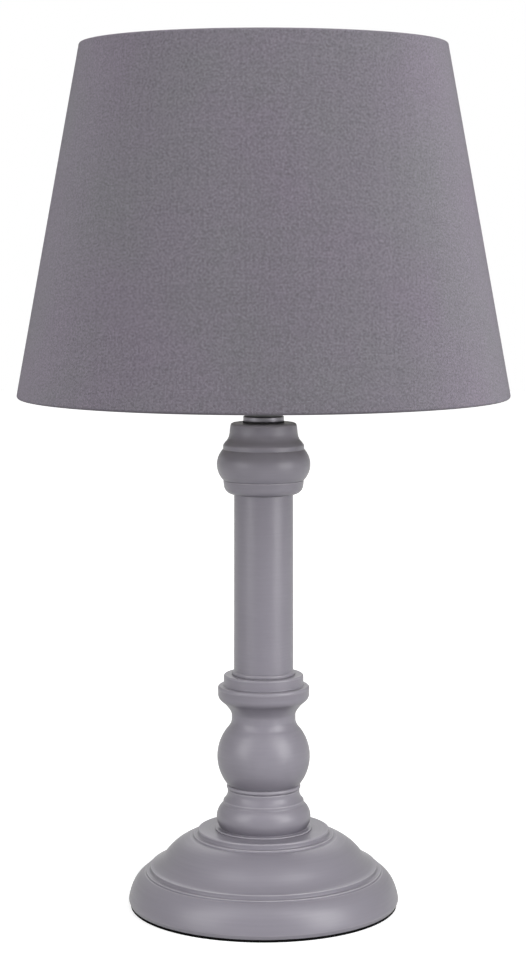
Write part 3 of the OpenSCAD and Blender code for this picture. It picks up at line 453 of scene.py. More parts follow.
# A plain weave in cloth coordinates in metres: two sets of threads that pass over and under one another
def makeWeave():
    group, given, result = newGroup("plainWeave", {
        "Vector": None, "Warp": (0.5, 0.5, 0.5, 1), "Weft": (0.4, 0.4, 0.4, 1), "Gap": (0.1, 0.1, 0.1, 1),
        "Threads": 2000.0, "Thread Tone": 0.3, "Slub": 0.3, "Crossing Tone": 0.3, "Cloud": 0.1,
    }, ("Color", "Height"))
    threads = given["Threads"]
    grid = vectorMaths(group, "MULTIPLY", given["Vector"], combine(group, threads, threads, threads))
    x, y, _ = split(group, grid)
    shift = swing(group, noise(group, given["Vector"], 90.0, 2.0, 0.5), 1.5)
    x = maths(group, "ADD", x, shift)
    y = maths(group, "SUBTRACT", y, shift)
    column, row = maths(group, "FLOOR", x), maths(group, "FLOOR", y)

    def thread(across, along, number):  # a round thread that rises and sinks as it crosses the others
        body = maths(group, "ABSOLUTE", maths(group, "SINE", maths(group, "MULTIPLY", across, math.pi)))
        body = maths(group, "POWER", body, 0.6)
        phase = maths(group, "MULTIPLY", maths(group, "ADD", along, number), math.pi)
        lift = maths(group, "MULTIPLY_ADD", maths(group, "COSINE", phase), 0.5, 0.5)
        return maths(group, "MULTIPLY", body, maths(group, "MULTIPLY_ADD", lift, 0.75, 0.25))

    warp = thread(x, maths(group, "SUBTRACT", y, 0.5), column)
    weft = thread(y, maths(group, "ADD", x, 0.5), row)
    top = maths(group, "MAXIMUM", warp, weft)
    isWarp = maths(group, "GREATER_THAN", warp, weft)

    def own(number, seed):  # the own tone of a thread, or of a crossing of two
        node = group.nodes.new("ShaderNodeTexWhiteNoise")
        node.noise_dimensions = "2D"
        wire(group, node.inputs["Vector"], combine(group, number, seed, 0.0))
        return node.outputs[0]

    def threadTone(number, along, seed):  # its own tone, with thicker and thinner stretches along it
        spot = maths(group, "MULTIPLY", number, 7.3), maths(group, "MULTIPLY", along, 0.3), seed
        slub = swing(group, noise(group, combine(group, *spot), 1.0, 1.0), given["Slub"])
        return maths(group, "ADD", swing(group, own(number, seed), given["Thread Tone"]), slub)

    topTone = group.nodes.new("ShaderNodeMix")
    wire(group, topTone.inputs[0], isWarp)
    wire(group, topTone.inputs[2], threadTone(row, x, 7.0))
    wire(group, topTone.inputs[3], threadTone(column, y, 1.0))
    mottle = swing(group, noise(group, given["Vector"], 950.0, 3.0, 0.6), given["Cloud"])
    crossing = swing(group, own(column, row), given["Crossing Tone"])
    mottle = maths(group, "ADD", mottle, crossing)
    tone = maths(group, "ADD", topTone.outputs[0], maths(group, "ADD", mottle, 1.0))
    colour = mixed(group, isWarp, given["Weft"], given["Warp"])
    colour = mixed(group, 1.0, colour, combine(group, tone, tone, tone), "MULTIPLY")
    depth = maths(group, "MULTIPLY", top, 1.9, clamp=True)
    group.links.new(result["Color"], mixed(group, depth, given["Gap"], colour))
    group.links.new(result["Height"], top)
    return group


# Lighter on a turning's edges, as worn paint and partly as a painted highlight, and darker in its corners as
# painted shade. Bend comes from markEdges.
def makeEdges():
    group, given, result = newGroup("wearAndCornerShade", {
        "Bend": 0.0, "Vector": None, "Patches": 160.0, "Color": (0.5, 0.5, 0.5, 1),
        "Edge Color": (0.6, 0.6, 0.6, 1), "Edge": 0.5, "Corner Color": (0.3, 0.3, 0.3, 1), "Corner": 0.5,
    }, ("Color",))
    bend = given["Bend"]
    patches = noise(group, given["Vector"], given["Patches"], 3.0, 0.6)
    # Edges: worn paint with a painted highlight
    edge = maths(group, "MULTIPLY", bend, 1.0, clamp=True)
    wearAndHighlight = maths(group, "MULTIPLY", edge, maths(group, "MULTIPLY_ADD", patches, 1.2, 0.3))
    wearAndHighlight = maths(group, "MULTIPLY", wearAndHighlight, given["Edge"], clamp=True)
    # Corners: painted shade
    corner = maths(group, "MULTIPLY", bend, -1.0, clamp=True)
    corner = maths(group, "MULTIPLY", corner, given["Corner"])
    colour = mixed(group, corner, given["Color"], given["Corner Color"])
    group.links.new(result["Color"], mixed(group, wearAndHighlight, colour, given["Edge Color"]))
    return group


latheRings = makeRings()
wearAndCornerShade = makeEdges()
softSpeckle = makeSpeckle()
plainWeave = makeWeave()


woodPaint = {
    "colour": rgb(142, 138, 148), "worn": rgb(131, 127, 137), "rings": 800.0, "ringTone": 0.7, "drift": 16.0,
    # Lighter on edges: worn paint, partly a painted highlight
    "thin": rgb(192, 188, 196), "thinning": 0.7, "patches": 160.0,
    # Painted shade in corners
    "cornerShade": rgb(98, 94, 101), "cornerShadeShare": 0.12,
    # Painted shade towards the outline, by view, less on level faces
    "outline": rgb(66, 63, 70), "outlineShadeDepth": 1.25, "outlineShadePower": 2.6,
    "levelShare": 0.7, "levelFrom": 0.8, "roughness": 0.36, "spread": 0.1, "bump": 0.12, "depth": 0.05,
}


def makeWoodPaint():
    material, tree, bsdf = newMaterial("greyWoodPaint")
    rings = place(
        tree, latheRings, Vector=coordinates(tree), Color=woodPaint["colour"], Second_Color=woodPaint["worn"],
        Rings=woodPaint["rings"], Ring_Tone=woodPaint["ringTone"], Drift_Scale=woodPaint["drift"],
        Base_Roughness=woodPaint["roughness"], Roughness_Spread=woodPaint["spread"],
    )
    edge = tree.nodes.new("ShaderNodeAttribute")
    edge.attribute_name = "edge"
    worn = place(
        tree, wearAndCornerShade, Bend=edge.outputs["Fac"], Vector=coordinates(tree), Patches=woodPaint["patches"],
        Color=rings.outputs["Color"], Edge_Color=woodPaint["thin"], Edge=woodPaint["thinning"],
        Corner_Color=woodPaint["cornerShade"], Corner=woodPaint["cornerShadeShare"],
    )
    # Painted shade: darker towards the outline in any view, less so on level faces. The exported model loses
    # this.
    outline = maths(tree, "POWER", aslant(tree), woodPaint["outlineShadePower"])
    outline = maths(tree, "MULTIPLY", outline, woodPaint["outlineShadeDepth"], clamp=True)
    level = maths(tree, "SUBTRACT", upward(tree), woodPaint["levelFrom"])
    level = maths(tree, "MULTIPLY", level, 1 / (1 - woodPaint["levelFrom"]), clamp=True)
    level = maths(tree, "MULTIPLY_ADD", level, -woodPaint["levelShare"], 1.0)
    colour = mixed(tree, maths(tree, "MULTIPLY", outline, level), worn.outputs["Color"], woodPaint["outline"])
    tree.links.new(bsdf.inputs["Base Color"], colour)
    tree.links.new(bsdf.inputs["Roughness"], rings.outputs["Roughness"])
    bumped(tree, bsdf, rings.outputs["Height"], woodPaint["bump"], woodPaint["depth"])
    return material


shadeCloth = {
    "warp": rgb(126, 121, 130), "weft": rgb(117, 112, 121), "gap": rgb(80, 76, 83), "threads": 1700.0,
    "threadTone": 0.1, "slub": 0.15, "crossingTone": 0.36, "cloud": 1.05, "dyeScale": 14.0,
    "dyeContrast": 3.0, "cooler": (0.965, 1.012, 0.96, 1), "warmer": (1.03, 0.988, 1.035, 1),
    # The next line sets painted sheen by view, darker at the outline, and painted shade where the cloth looks
    # down
    "aslant": 0.66, "sheenFalloff": 1.6, "under": rgb(52, 48, 54), "undersideShadeDepth": 0.9,
    "roughness": 0.9, "diffuseRoughness": 1.0, "specular": 0.15,
    "sheen": 0.2, "sheenRoughness": 0.7, "sheenTint": rgb(248, 244, 252), "bump": 0.4, "depth": 0.09,
}


def makeShadeCloth():
    material, tree, bsdf = newMaterial(
        "shadeCloth", Roughness=shadeCloth["roughness"], Specular_IOR_Level=shadeCloth["specular"],
        Diffuse_Roughness=shadeCloth["diffuseRoughness"], Sheen_Weight=shadeCloth["sheen"],
        Sheen_Roughness=shadeCloth["sheenRoughness"], Sheen_Tint=shadeCloth["sheenTint"],
    )
    weave = place(
        tree, plainWeave, Vector=coordinates(tree, "UV"), Warp=shadeCloth["warp"], Weft=shadeCloth["weft"],
        Gap=shadeCloth["gap"], Threads=shadeCloth["threads"], Thread_Tone=shadeCloth["threadTone"],
        Slub=shadeCloth["slub"], Crossing_Tone=shadeCloth["crossingTone"], Cloud=shadeCloth["cloud"],
    )
    # Painted sheen by view: lighter seen aslant, then darker again at the outline. The export loses this too.
    slant = aslant(tree)
    sheenFalloff = maths(tree, "MULTIPLY_ADD", maths(tree, "MULTIPLY", slant, slant), -shadeCloth["sheenFalloff"], 1.0)
    paintedSheen = maths(tree, "MULTIPLY", maths(tree, "POWER", slant, 0.5), sheenFalloff)
    paintedSheen = maths(tree, "MULTIPLY_ADD", paintedSheen, shadeCloth["aslant"], 1.0)
    colour = mixed(tree, 1.0, weave.outputs["Color"], combine(tree, paintedSheen, paintedSheen, paintedSheen), "MULTIPLY")
    # Slow patches where the dye took cooler or warmer
    dye = noise(tree, coordinates(tree, "UV"), shadeCloth["dyeScale"], 3.0, 0.55)
    dye = contrast(tree, dye, shadeCloth["dyeContrast"], clamp=True)
    dye = mixed(tree, dye, shadeCloth["cooler"], shadeCloth["warmer"])
    colour = mixed(tree, 1.0, colour, dye, "MULTIPLY")
    # Painted shade: the rolled edge is darker where it looks down
    undersideShade = maths(tree, "MULTIPLY", upward(tree), -1.0, clamp=True)
    undersideShade = maths(tree, "MULTIPLY", undersideShade, shadeCloth["undersideShadeDepth"])
    tree.links.new(bsdf.inputs["Base Color"], mixed(tree, undersideShade, colour, shadeCloth["under"]))
    bumped(tree, bsdf, weave.outputs["Height"], shadeCloth["bump"], shadeCloth["depth"])
    return material


# Colour, second colour, grain, cloud, roughness and its spread, bump and its depth in mm, specular level
speckled = {
    "blackFoam": ((18, 18, 19), (11, 11, 12), 900.0, 80.0, 0.95, 0.05, 0.6, 0.15, 0.05),
    "blackHolder": ((42, 42, 44), (32, 32, 34), 3000.0, 90.0, 0.38, 0.25, 0.15, 0.03, 0.5),
    "blackFibre": ((54, 52, 54), (40, 39, 41), 1800.0, 120.0, 0.8, 0.2, 0.4, 0.05, 0.5),
    "whiteLiner": ((238, 236, 230), (228, 226, 219), 1500.0, 24.0, 0.55, 0.15, 0.1, 0.05, 0.5),
    "whiteCoat": ((232, 232, 230), (215, 215, 212), 1200.0, 120.0, 0.4, 0.2, 0.25, 0.04, 0.5),
    "glazedBlock": ((230, 226, 214), (214, 208, 194), 700.0, 90.0, 0.2, 0.15, 0.1, 0.04, 0.5),
    "bulbHousing": ((240, 240, 238), (229, 229, 227), 2600.0, 50.0, 0.32, 0.12, 0.08, 0.02, 0.5),
    "opalDome": ((244, 243, 238), (236, 235, 229), 1800.0, 40.0, 0.42, 0.1, 0.08, 0.02, 0.5),
    "darkInsulator": ((20, 20, 22), (10, 10, 12), 1500.0, 140.0, 0.15, 0.1, 0.1, 0.02, 0.5),
    "whiteBoard": ((234, 234, 231), (214, 214, 210), 1600.0, 200.0, 0.35, 0.2, 0.15, 0.03, 0.5),
    "greenBoard": ((44, 108, 68), (32, 84, 52), 1500.0, 260.0, 0.3, 0.2, 0.2, 0.04, 0.5),
    "lightChip": ((236, 206, 90), (222, 188, 70), 2600.0, 500.0, 0.45, 0.2, 0.2, 0.03, 0.5),
}

# Colour, second colour, rings, roughness and its spread, bump and its depth in mm
turnedMetal = {
    "satinCollar": ((124, 122, 127), (104, 102, 107), 2600.0, 0.38, 0.3, 0.25, 0.03),
    "zincPlate": ((182, 182, 186), (160, 160, 166), 1800.0, 0.35, 0.3, 0.25, 0.03),
    "nickelCap": ((206, 205, 203), (186, 185, 184), 1200.0, 0.24, 0.2, 0.15, 0.03),
    "brightBrass": ((206, 172, 98), (184, 146, 74), 1500.0, 0.28, 0.25, 0.2, 0.03),
}


def connect(tree, bsdf, surface, bump, depth):
    tree.links.new(bsdf.inputs["Base Color"], surface.outputs["Color"])
    tree.links.new(bsdf.inputs["Roughness"], surface.outputs["Roughness"])
    bumped(tree, bsdf, surface.outputs["Height"], bump, depth)


def makeSpeckled(name, colour, second, grain, cloud, roughness, spread, bump, depth, specular):
    material, tree, bsdf = newMaterial(name, Specular_IOR_Level=specular)
    speckle = place(
        tree, softSpeckle, Vector=coordinates(tree), Color=rgb(*colour), Second_Color=rgb(*second),
        Grain=grain, Cloud=cloud, Base_Roughness=roughness, Roughness_Spread=spread,
    )
    connect(tree, bsdf, speckle, bump, depth)
    return material


def makeTurnedMetal(name, colour, second, rings, roughness, spread, bump, depth):
    material, tree, bsdf = newMaterial(name, Metallic=1.0)
    lines = place(
        tree, latheRings, Vector=coordinates(tree), Color=rgb(*colour), Second_Color=rgb(*second),
        Rings=rings, Ring_Tone=0.8, Drift_Scale=60.0, Base_Roughness=roughness, Roughness_Spread=spread,
    )
    connect(tree, bsdf, lines, bump, depth)
    return material


finish = {"greyWoodPaint": makeWoodPaint(), "shadeCloth": makeShadeCloth()}
for name, values in speckled.items():
    finish[name] = makeSpeckled(name, *values)
for name, values in turnedMetal.items():
    finish[name] = makeTurnedMetal(name, *values)
print("lamp: materials made")


footTurning = {
    "bore": 5.2, "hollow": 18.0, "hollowTop": 13.4, "socket": 11.1, "socketFloor": 31.55, "bottom": 1.4,
    "top": 40.05, "ease": 0.4, "hollowEase": 0.9, "ductHeight": 7.9, "ductRadius": 3.5,
    "sleeve": 3.95, "sleeveDepth": 10.0, "seat": 66.4, "seatRadius": 5.5, "cutEnd": 80.0,
}
t = footTurning
footPath = [(t["hollow"], t["bottom"])] + eased(track([
    (69.1, t["bottom"], 0.03), (70.0, 3.5, 0.03), (68.2, 10.0, 0.083), (61.7, 17.6), (61.0, 17.6),
    (61.0, 18.35, 0.207), (60.65, 18.7), (58.8, 18.7), (58.8, 20.4, 0.207), (58.2, 21.0),
    (57.75, 21.0, -0.045), (51.4, 26.1, 0.075), (38.0, 36.1), (36.3, 36.1), (36.3, 36.9, 0.207),
    (35.9, 37.3), (34.0, 37.3), (34.0, 39.25, 0.207), (33.2, t["top"]), (t["socket"], t["top"]),
]), t["ease"], t["hollowEase"]) + [
    (t["socket"], t["socketFloor"]), (t["bore"], t["socketFloor"]), (t["bore"], t["hollowTop"]),
    (t["hollow"], t["hollowTop"]),
]
footPiece = turned("footPiece", footPath, steps=240)
for radius, start, end in (
    (t["ductRadius"], 0, t["seat"]),
    (t["sleeve"], t["seat"] - t["sleeveDepth"], t["seat"] + 1),
    (t["seatRadius"], t["seat"], t["cutEnd"]),
):
    cutAway(footPiece, rod("footCutter", (0, start, t["ductHeight"]), (0, end, t["ductHeight"]), radius, 64))
smooth(footPiece)
markEdges(footPiece, footPath)
dress(footPiece, finish["greyWoodPaint"], "stand", "painted_wood", "foot")

balusterTurning = {
    "bore": 5.2, "spigot": 11.0, "spigotEnd": 32.05, "socket": 10.1, "socketFloor": 112.6, "top": 121.1,
    "ease": 0.4, "hollowEase": 0.8,
}
t = balusterTurning
balusterPath = [(t["bore"], t["spigotEnd"]), (t["spigot"], t["spigotEnd"])] + eased(track([
    (t["spigot"], 40.05), (25.1, 40.05, 0.207), (24.8, 40.85),
    (22.3, 40.85, bulge((22.3, 40.85), (21.4, 53.1), 24.3)), (21.4, 53.1),
    (20.8, 53.6), (20.8, 55.2, -0.08), (18.6, 58.9), (18.6, 60.65),
    (18.15, 61.1, bulge((18.15, 61.1), (18.15, 63.5), 19.1)), (18.15, 63.5),
    (18.6, 63.5, bulge((18.6, 63.5), (18.1, 93.5), 23.95)), (18.1, 93.5, -0.06), (16.5, 97.0),
    (16.5, 100.8, -0.055), (21.2, 106.8, 0.11), (23.55, 110.3), (23.55, 113.3, 0.207), (22.6, 115.25),
    (20.55, 115.25), (20.55, 120.0, 0.207), (19.45, t["top"]), (t["socket"], t["top"]),
]), t["ease"], t["hollowEase"]) + [(t["socket"], t["socketFloor"]), (t["bore"], t["socketFloor"])]
balusterPiece = turned("balusterPiece", balusterPath, steps=160)
markEdges(balusterPiece, balusterPath)
dress(balusterPiece, finish["greyWoodPaint"], "stand", "painted_wood", "baluster")

shaftTurning = {
    "bore": 5.2, "spigot": 10.0, "lowEnd": 113.1, "low": 121.1, "high": 214.3, "highEnd": 222.3, "ease": 0.4,
}
t = shaftTurning
shaftPath = [(t["bore"], t["lowEnd"]), (t["spigot"], t["lowEnd"])] + eased(track([
    (t["spigot"], t["low"]), (16.5, t["low"]), (16.3, 121.9, 0.18), (15.3, 122.9),
    (15.1, t["high"]), (t["spigot"], t["high"]),
]), t["ease"]) + [(t["spigot"], t["highEnd"]), (t["bore"], t["highEnd"])]
shaftPiece = turned("shaftPiece", shaftPath, steps=128)
markEdges(shaftPiece, shaftPath)
dress(shaftPiece, finish["greyWoodPaint"], "stand", "painted_wood", "shaft")

capitalTurning = {
    "bore": 5.2, "socket": 10.1, "low": 214.3, "socketEnd": 222.8, "high": 250.8, "seat": 9.3,
    "seatFloor": 246.3, "ease": 0.5, "hollowEase": 1.0,
}
t = capitalTurning
capitalPath = [(t["socket"], t["low"])] + eased(track([
    (15.4, t["low"], 0.19), (20.3, 218.5), (20.6, 221.1), (20.35, 221.4),
    (20.9, 221.8, bulge((20.9, 221.8), (20.9, 237.2), 23.9)), (20.9, 237.2),
    (20.7, 237.2), (20.7, 239.4, 0.04), (18.5, 242.1, -0.055), (17.35, 246.6), (17.0, 249.3, 0.207),
    (15.0, t["high"]), (t["seat"], t["high"]),
]), t["ease"], t["hollowEase"]) + [
    (t["seat"], t["seatFloor"]), (t["bore"], t["seatFloor"]), (t["bore"], t["socketEnd"]),
    (t["socket"], t["socketEnd"]),
]
capitalPiece = turned("capitalPiece", capitalPath, steps=160)
markEdges(capitalPiece, capitalPath)
dress(capitalPiece, finish["greyWoodPaint"], "stand", "painted_wood", "capital")
print("lamp: wooden stem turned")


foamPad = {"radius": 69.0, "thick": 1.4, "ease": 0.1}
t = foamPad
padPiece = turned("padPiece", eased([
    (0.0, 0.0), (t["radius"] - t["ease"], 0.0), (t["radius"], t["ease"]), (t["radius"], t["thick"]),
    (0.0, t["thick"]),
], t["ease"]), steps=240)
dress(padPiece, finish["blackFoam"], "stand", "pad", "base_pad")

inletBush = {
    "height": 7.9, "seat": 66.4, "length": 10.0, "bore": 3.0, "sleeve": 3.9, "flange": 5.2, "lip": 1.2,
    "ease": 0.35, "seam": 0.01,
}
t = inletBush
bushPiece = turned("bushPiece", eased([
    (t["bore"], -t["length"]), (t["sleeve"], -t["length"]), (t["sleeve"], 0), (t["flange"], 0),
    (t["flange"], t["lip"]), (t["bore"], t["lip"]), (t["bore"], -t["length"] + t["seam"]),
], t["ease"]), steps=64)
bushPiece.rotation_euler = (-math.pi / 2, 0, 0)
bushPiece.location = (0, t["seat"] * mm, t["height"] * mm)
settle(bushPiece)
dress(bushPiece, finish["blackHolder"], "stand", "black_plastic", "inlet_bush")

neckParts = {
    "washer": 10.5, "washerLow": 250.8, "washerEase": 0.15, "collar": 10.4, "low": 251.5, "high": 254.1,
    "bore": 5.05, "ease": 0.4,
}
t = neckParts
washerPiece = turned("neckWasherPiece", eased([
    (t["bore"], t["washerLow"]), (t["washer"], t["washerLow"]), (t["washer"], t["low"]),
    (t["bore"], t["low"]),
], t["washerEase"]), steps=96)
dress(washerPiece, finish["blackFibre"], "stand", "black_plastic", "neck_washer")
collarPiece = turned("neckCollarPiece", eased([
    (t["bore"], t["low"]), (t["collar"], t["low"]), (t["collar"], t["high"]), (t["bore"], t["high"]),
], t["ease"]), steps=96)
dress(collarPiece, finish["satinCollar"], "stand", "collar", "neck_collar")
print("lamp: pad, inlet and collar made")


def threadRings(radius, depth, pitch, low, high, bits=12):  # rounded ridges, as in the frame
    count = math.floor((high - low) / pitch)
    start = (low + high - count * pitch) / 2
    return [
        (radius - depth / 2 * math.cos(2 * math.pi * i / bits), start + i * pitch / bits)
        for i in range(count * bits + 1)
    ]


holder = {
    "bore": 5.05, "neck": 9.9, "low": 254.1, "coneLow": 258.3, "coneTop": 264.0, "floor": 260.3, "cap": 19.2,
    "wall": 2.0, "skirtLow": 272.0, "skirtTop": 308.0, "skirtBore": 14.9, "spigot": 17.15, "seat": 25.5,
    "seatLow": 276.0, "seatTop": 278.5, "root": 19.2, "thread": 0.6, "pitch": 3.0, "ringLow": 280.1,
    "spigotEnd": 267.0, "grub": 1.55, "grubHeight": 256.2, "grubReach": 14.0,
}
t = holder
capBore = t["cap"] - t["wall"]
holderCapPiece = turned("holderCapPiece", eased([
    (t["bore"], t["low"]), (t["neck"], t["low"]), (t["neck"], t["coneLow"]), (t["cap"], t["coneTop"]),
    (t["cap"], t["skirtLow"]), (capBore, t["skirtLow"]), (capBore, t["coneTop"] + 1),
    (t["neck"] + t["wall"], t["floor"]), (t["bore"], t["floor"]),
], 0.6), steps=96)
grubEnds = (0, 0, t["grubHeight"]), (0, t["grubReach"], t["grubHeight"])
cutAway(holderCapPiece, rod("grubCutter", *grubEnds, t["grub"], 32))
smooth(holderCapPiece)
dress(holderCapPiece, finish["blackHolder"], "stand", "black_plastic", "holder_cap")

skirtThread = threadRings(t["root"], t["thread"], t["pitch"], t["ringLow"], t["skirtTop"] - t["pitch"] / 2)
skirtPath = [(t["skirtBore"], t["spigotEnd"]), (t["spigot"], t["spigotEnd"]), (t["spigot"], t["skirtLow"])]
skirtPath += eased([
    (t["cap"], t["skirtLow"]), (t["cap"], t["seatLow"]), (t["seat"], t["seatLow"]), (t["seat"], t["seatTop"]),
    (t["root"], t["seatTop"]), skirtThread[0],
], 0.4)[:-1]
skirtPath += skirtThread + eased([
    skirtThread[-1], (t["root"], t["skirtTop"] - 1), (t["root"], t["skirtTop"]),
    (t["skirtBore"], t["skirtTop"]), (t["skirtBore"], t["skirtTop"] - 3),
], 0.5)[1:]
skirtPiece = turned("holderSkirtPiece", skirtPath, steps=96)
dress(skirtPiece, finish["blackHolder"], "stand", "black_plastic", "holder_skirt")

clampRing = {
    "bore": 19.8, "low": 280.1, "flange": 26.0, "flangeTop": 282.1, "sleeve": 22.8, "top": 290.1,
    "ribs": 18, "rib": 0.8, "ribSink": 0.2, "ribShort": 0.4, "ribEase": 0.3,
}
t = clampRing
ringPath = eased([
    (t["bore"], t["low"] + 1), (t["bore"], t["low"]), (t["flange"], t["low"]), (t["flange"], t["flangeTop"]),
    (t["sleeve"], t["flangeTop"]), (t["sleeve"], t["top"]), (t["bore"], t["top"]), (t["bore"], t["top"] - 1),
], 0.4)
ringBody = turned("ringBody", ringPath, steps=108)
ribs = []
for i in range(t["ribs"]):
    low = around(t["sleeve"], 360 * i / t["ribs"], t["flangeTop"] - t["ribSink"])
    high = around(t["sleeve"], 360 * i / t["ribs"], t["top"] - t["ribShort"])
    rib = rod("gripRib", low, high, t["rib"], 16)
    softEdges(rib, t["ribEase"])
    ribs.append(rib)
ringPiece = joined("retainingRingPiece", [ringBody] + ribs)
dress(ringPiece, finish["blackHolder"], "ring", "black_plastic", "retaining_ring")
print("lamp: lampholder made")


shade = {
    "lowRadius": 123.6, "lowHeight": 265.3, "highRadius": 91.05, "highHeight": 439.6, "wireRadius": 1.0,
    "cloth": 0.4, "liner": 0.4, "linerGap": 0.4, "hem": 9.0, "hemRun": 8.8, "blend": 4.0, "blendRun": 3.6,
    "slack": 0.01, "lapWidth": 10.0, "lapInset": 6.0, "lapGap": 0.02, "lapThick": 0.36, "lapEase": 0.12,
    "fitter": 27.0, "fitterBore": 21.0, "fitterLow": 278.5, "fitterThick": 1.6, "fitterEase": 0.35,
    "spoke": 0.9, "spokeAngles": (90, 210, 330), "weld": 0.3,
}
t = shade
wallLength = math.hypot(t["lowRadius"] - t["highRadius"], t["highHeight"] - t["lowHeight"])
wallLean = math.asin((t["lowRadius"] - t["highRadius"]) / wallLength)
rollOut = t["wireRadius"] + t["cloth"]
linerIn = t["wireRadius"] - t["liner"]
hemIn = linerIn - t["cloth"]


def wallPoint(x, y):  # x outwards from the line between the wires, y up along it
    return (
        shade["lowRadius"] + x * math.cos(wallLean) - y * math.sin(wallLean),
        shade["lowHeight"] + x * math.sin(wallLean) + y * math.cos(wallLean),
    )


land = (linerIn, t["blend"])
leaveAngle = math.atan2(land[1], land[0]) + math.acos(t["wireRadius"] / math.hypot(*land))
rollAngle = 2 * math.pi - leaveAngle
rollBits = 32


def rollPoints(radius):
    angles = [-rollAngle * i / rollBits for i in range(rollBits + 1)]
    return [(radius * math.cos(a), radius * math.sin(a)) for a in angles]


# The cloth's outline with the place of each point along the cloth, measured up the wall
rollRun = [-rollOut * rollAngle * i / rollBits for i in range(rollBits + 1)]
leave = (rollOut * math.cos(leaveAngle), rollOut * math.sin(leaveAngle))
landLow = (hemIn, leave[1] - (hemIn - leave[0]) * leave[0] / leave[1])
hem = t["hem"]
hemPoints = [landLow, (hemIn + 0.05, hem - 0.1), (hemIn + 0.2, hem), (linerIn - 0.02, hem), land]
landRun, endRun = rollRun[-1] - t["blendRun"], rollRun[-1] - t["hemRun"]
edge = rollPoints(rollOut) + hemPoints + rollPoints(t["wireRadius"] + t["slack"])[::-1]
edgeRun = rollRun + [landRun, endRun + 0.2, endRun, endRun, landRun] + rollRun[::-1]
wallBits = 24
inside = [(t["wireRadius"] + t["slack"], wallLength * i / wallBits) for i in range(1, wallBits)]
outside = [(rollOut, wallLength * i / wallBits) for i in range(wallBits - 1, 0, -1)]
outline = edge + inside + [(x, wallLength - y) for x, y in reversed(edge)] + outside
outlineRun = (
    edgeRun + [y for _, y in inside] + [wallLength - s for s in reversed(edgeRun)] + [y for _, y in outside]
)
clothPath = [wallPoint(x, y) for x, y in outline]
coverPiece = turned("shadeCoverPiece", clothPath, steps=240, smoothAngle=50)

apexRun = t["lowRadius"] / math.sin(wallLean)  # the cone's point, from the lower wire, along the wall


def layFlat(piece, runOf):  # UV in metres on the cloth as it was cut, with its seam at the back
    mesh = piece.data
    while mesh.uv_layers:
        mesh.uv_layers.remove(mesh.uv_layers[0])
    uvLayer = mesh.uv_layers.new(name="cloth")
    for face in mesh.polygons:
        middle = math.atan2(-face.center.x, -face.center.y)
        for loop in face.loop_indices:
            point = mesh.vertices[mesh.loops[loop].vertex_index].co
            turn = math.atan2(-point.x, -point.y)
            if turn - middle > math.pi:
                turn -= 2 * math.pi
            if middle - turn > math.pi:
                turn += 2 * math.pi
            reach = (apexRun - runOf(point)) * mm
            flat = turn * math.sin(wallLean)
            uvLayer.data[loop].uv = (-reach * math.sin(flat), apexRun * mm - reach * math.cos(flat))


nearestCloth = nearestOn(clothPath)
layFlat(coverPiece, lambda place: outlineRun[nearestCloth(place)])
dress(coverPiece, finish["shadeCloth"], "shade", "cloth", "shade_cover")

# The lap at the back: the cloth's glued end, one thickness proud of the wall
lapArc = t["lapWidth"] / (2 * t["lowRadius"])
lapSteps = 6
deselectAll()
bpy.ops.mesh.primitive_grid_add(x_subdivisions=lapSteps, y_subdivisions=wallBits, size=2)
lapPiece = bpy.context.active_object
lapPiece.name = "shadeLapPiece"
for vertex in lapPiece.data.vertices:  # the grid is bent onto the wall
    up = t["lapInset"] + (vertex.co.y + 1) / 2 * (wallLength - 2 * t["lapInset"])
    r, z = wallPoint(rollOut + t["lapGap"], up)
    a = math.pi / 2 - vertex.co.x * lapArc
    vertex.co = (r * mm * math.cos(a), r * mm * math.sin(a), z * mm)
pickOnly(lapPiece)
bpy.ops.object.mode_set(mode="EDIT")
bpy.ops.mesh.select_all(action="SELECT")
bpy.ops.mesh.normals_make_consistent(inside=False)
bpy.ops.object.mode_set(mode="OBJECT")
facing = lapPiece.data.polygons[0]
if facing.normal.y < 0:
    bpy.ops.object.mode_set(mode="EDIT")
    bpy.ops.mesh.flip_normals()
    bpy.ops.object.mode_set(mode="OBJECT")
layFlat(lapPiece, lambda p: (p.z / mm - t["lowHeight"]) / math.cos(wallLean))
wall = lapPiece.modifiers.new("clothThickness", "SOLIDIFY")
wall.thickness = t["lapThick"] * mm
wall.offset = 1
bpy.ops.object.modifier_apply(modifier=wall.name)
softEdges(lapPiece, t["lapEase"])
dress(lapPiece, finish["shadeCloth"], "shade", "cloth")

turnedIn = 2 * (rollOut * rollAngle + t["hemRun"]) * mm
coverArea = math.pi * (t["lowRadius"] + t["highRadius"]) * mm * wallLength * mm
coverArea += math.pi * (t["lowRadius"] + t["highRadius"]) * mm * turnedIn

linerStart = math.sqrt(t["wireRadius"] ** 2 - linerIn ** 2) + t["linerGap"]
linerPiece = turned("shadeLinerPiece", [
    wallPoint(linerIn, linerStart), wallPoint(t["wireRadius"], linerStart),
    wallPoint(t["wireRadius"], wallLength - linerStart), wallPoint(linerIn, wallLength - linerStart),
], steps=240)
dress(linerPiece, finish["whiteLiner"], "shade", "liner", "shade_liner")

fitterTop = t["fitterLow"] + t["fitterThick"]
fitterMiddle = t["fitterLow"] + t["fitterThick"] / 2
fitterPiece = turned("fitterRingPiece", eased([
    (t["fitterBore"], fitterMiddle), (t["fitterBore"], t["fitterLow"]), (t["fitter"], t["fitterLow"]),
    (t["fitter"], fitterTop), (t["fitterBore"], fitterTop), (t["fitterBore"], fitterMiddle + 0.1),
], t["fitterEase"]), steps=120)
dress(fitterPiece, finish["whiteCoat"], "shade", "white_wire", "fitter_ring")

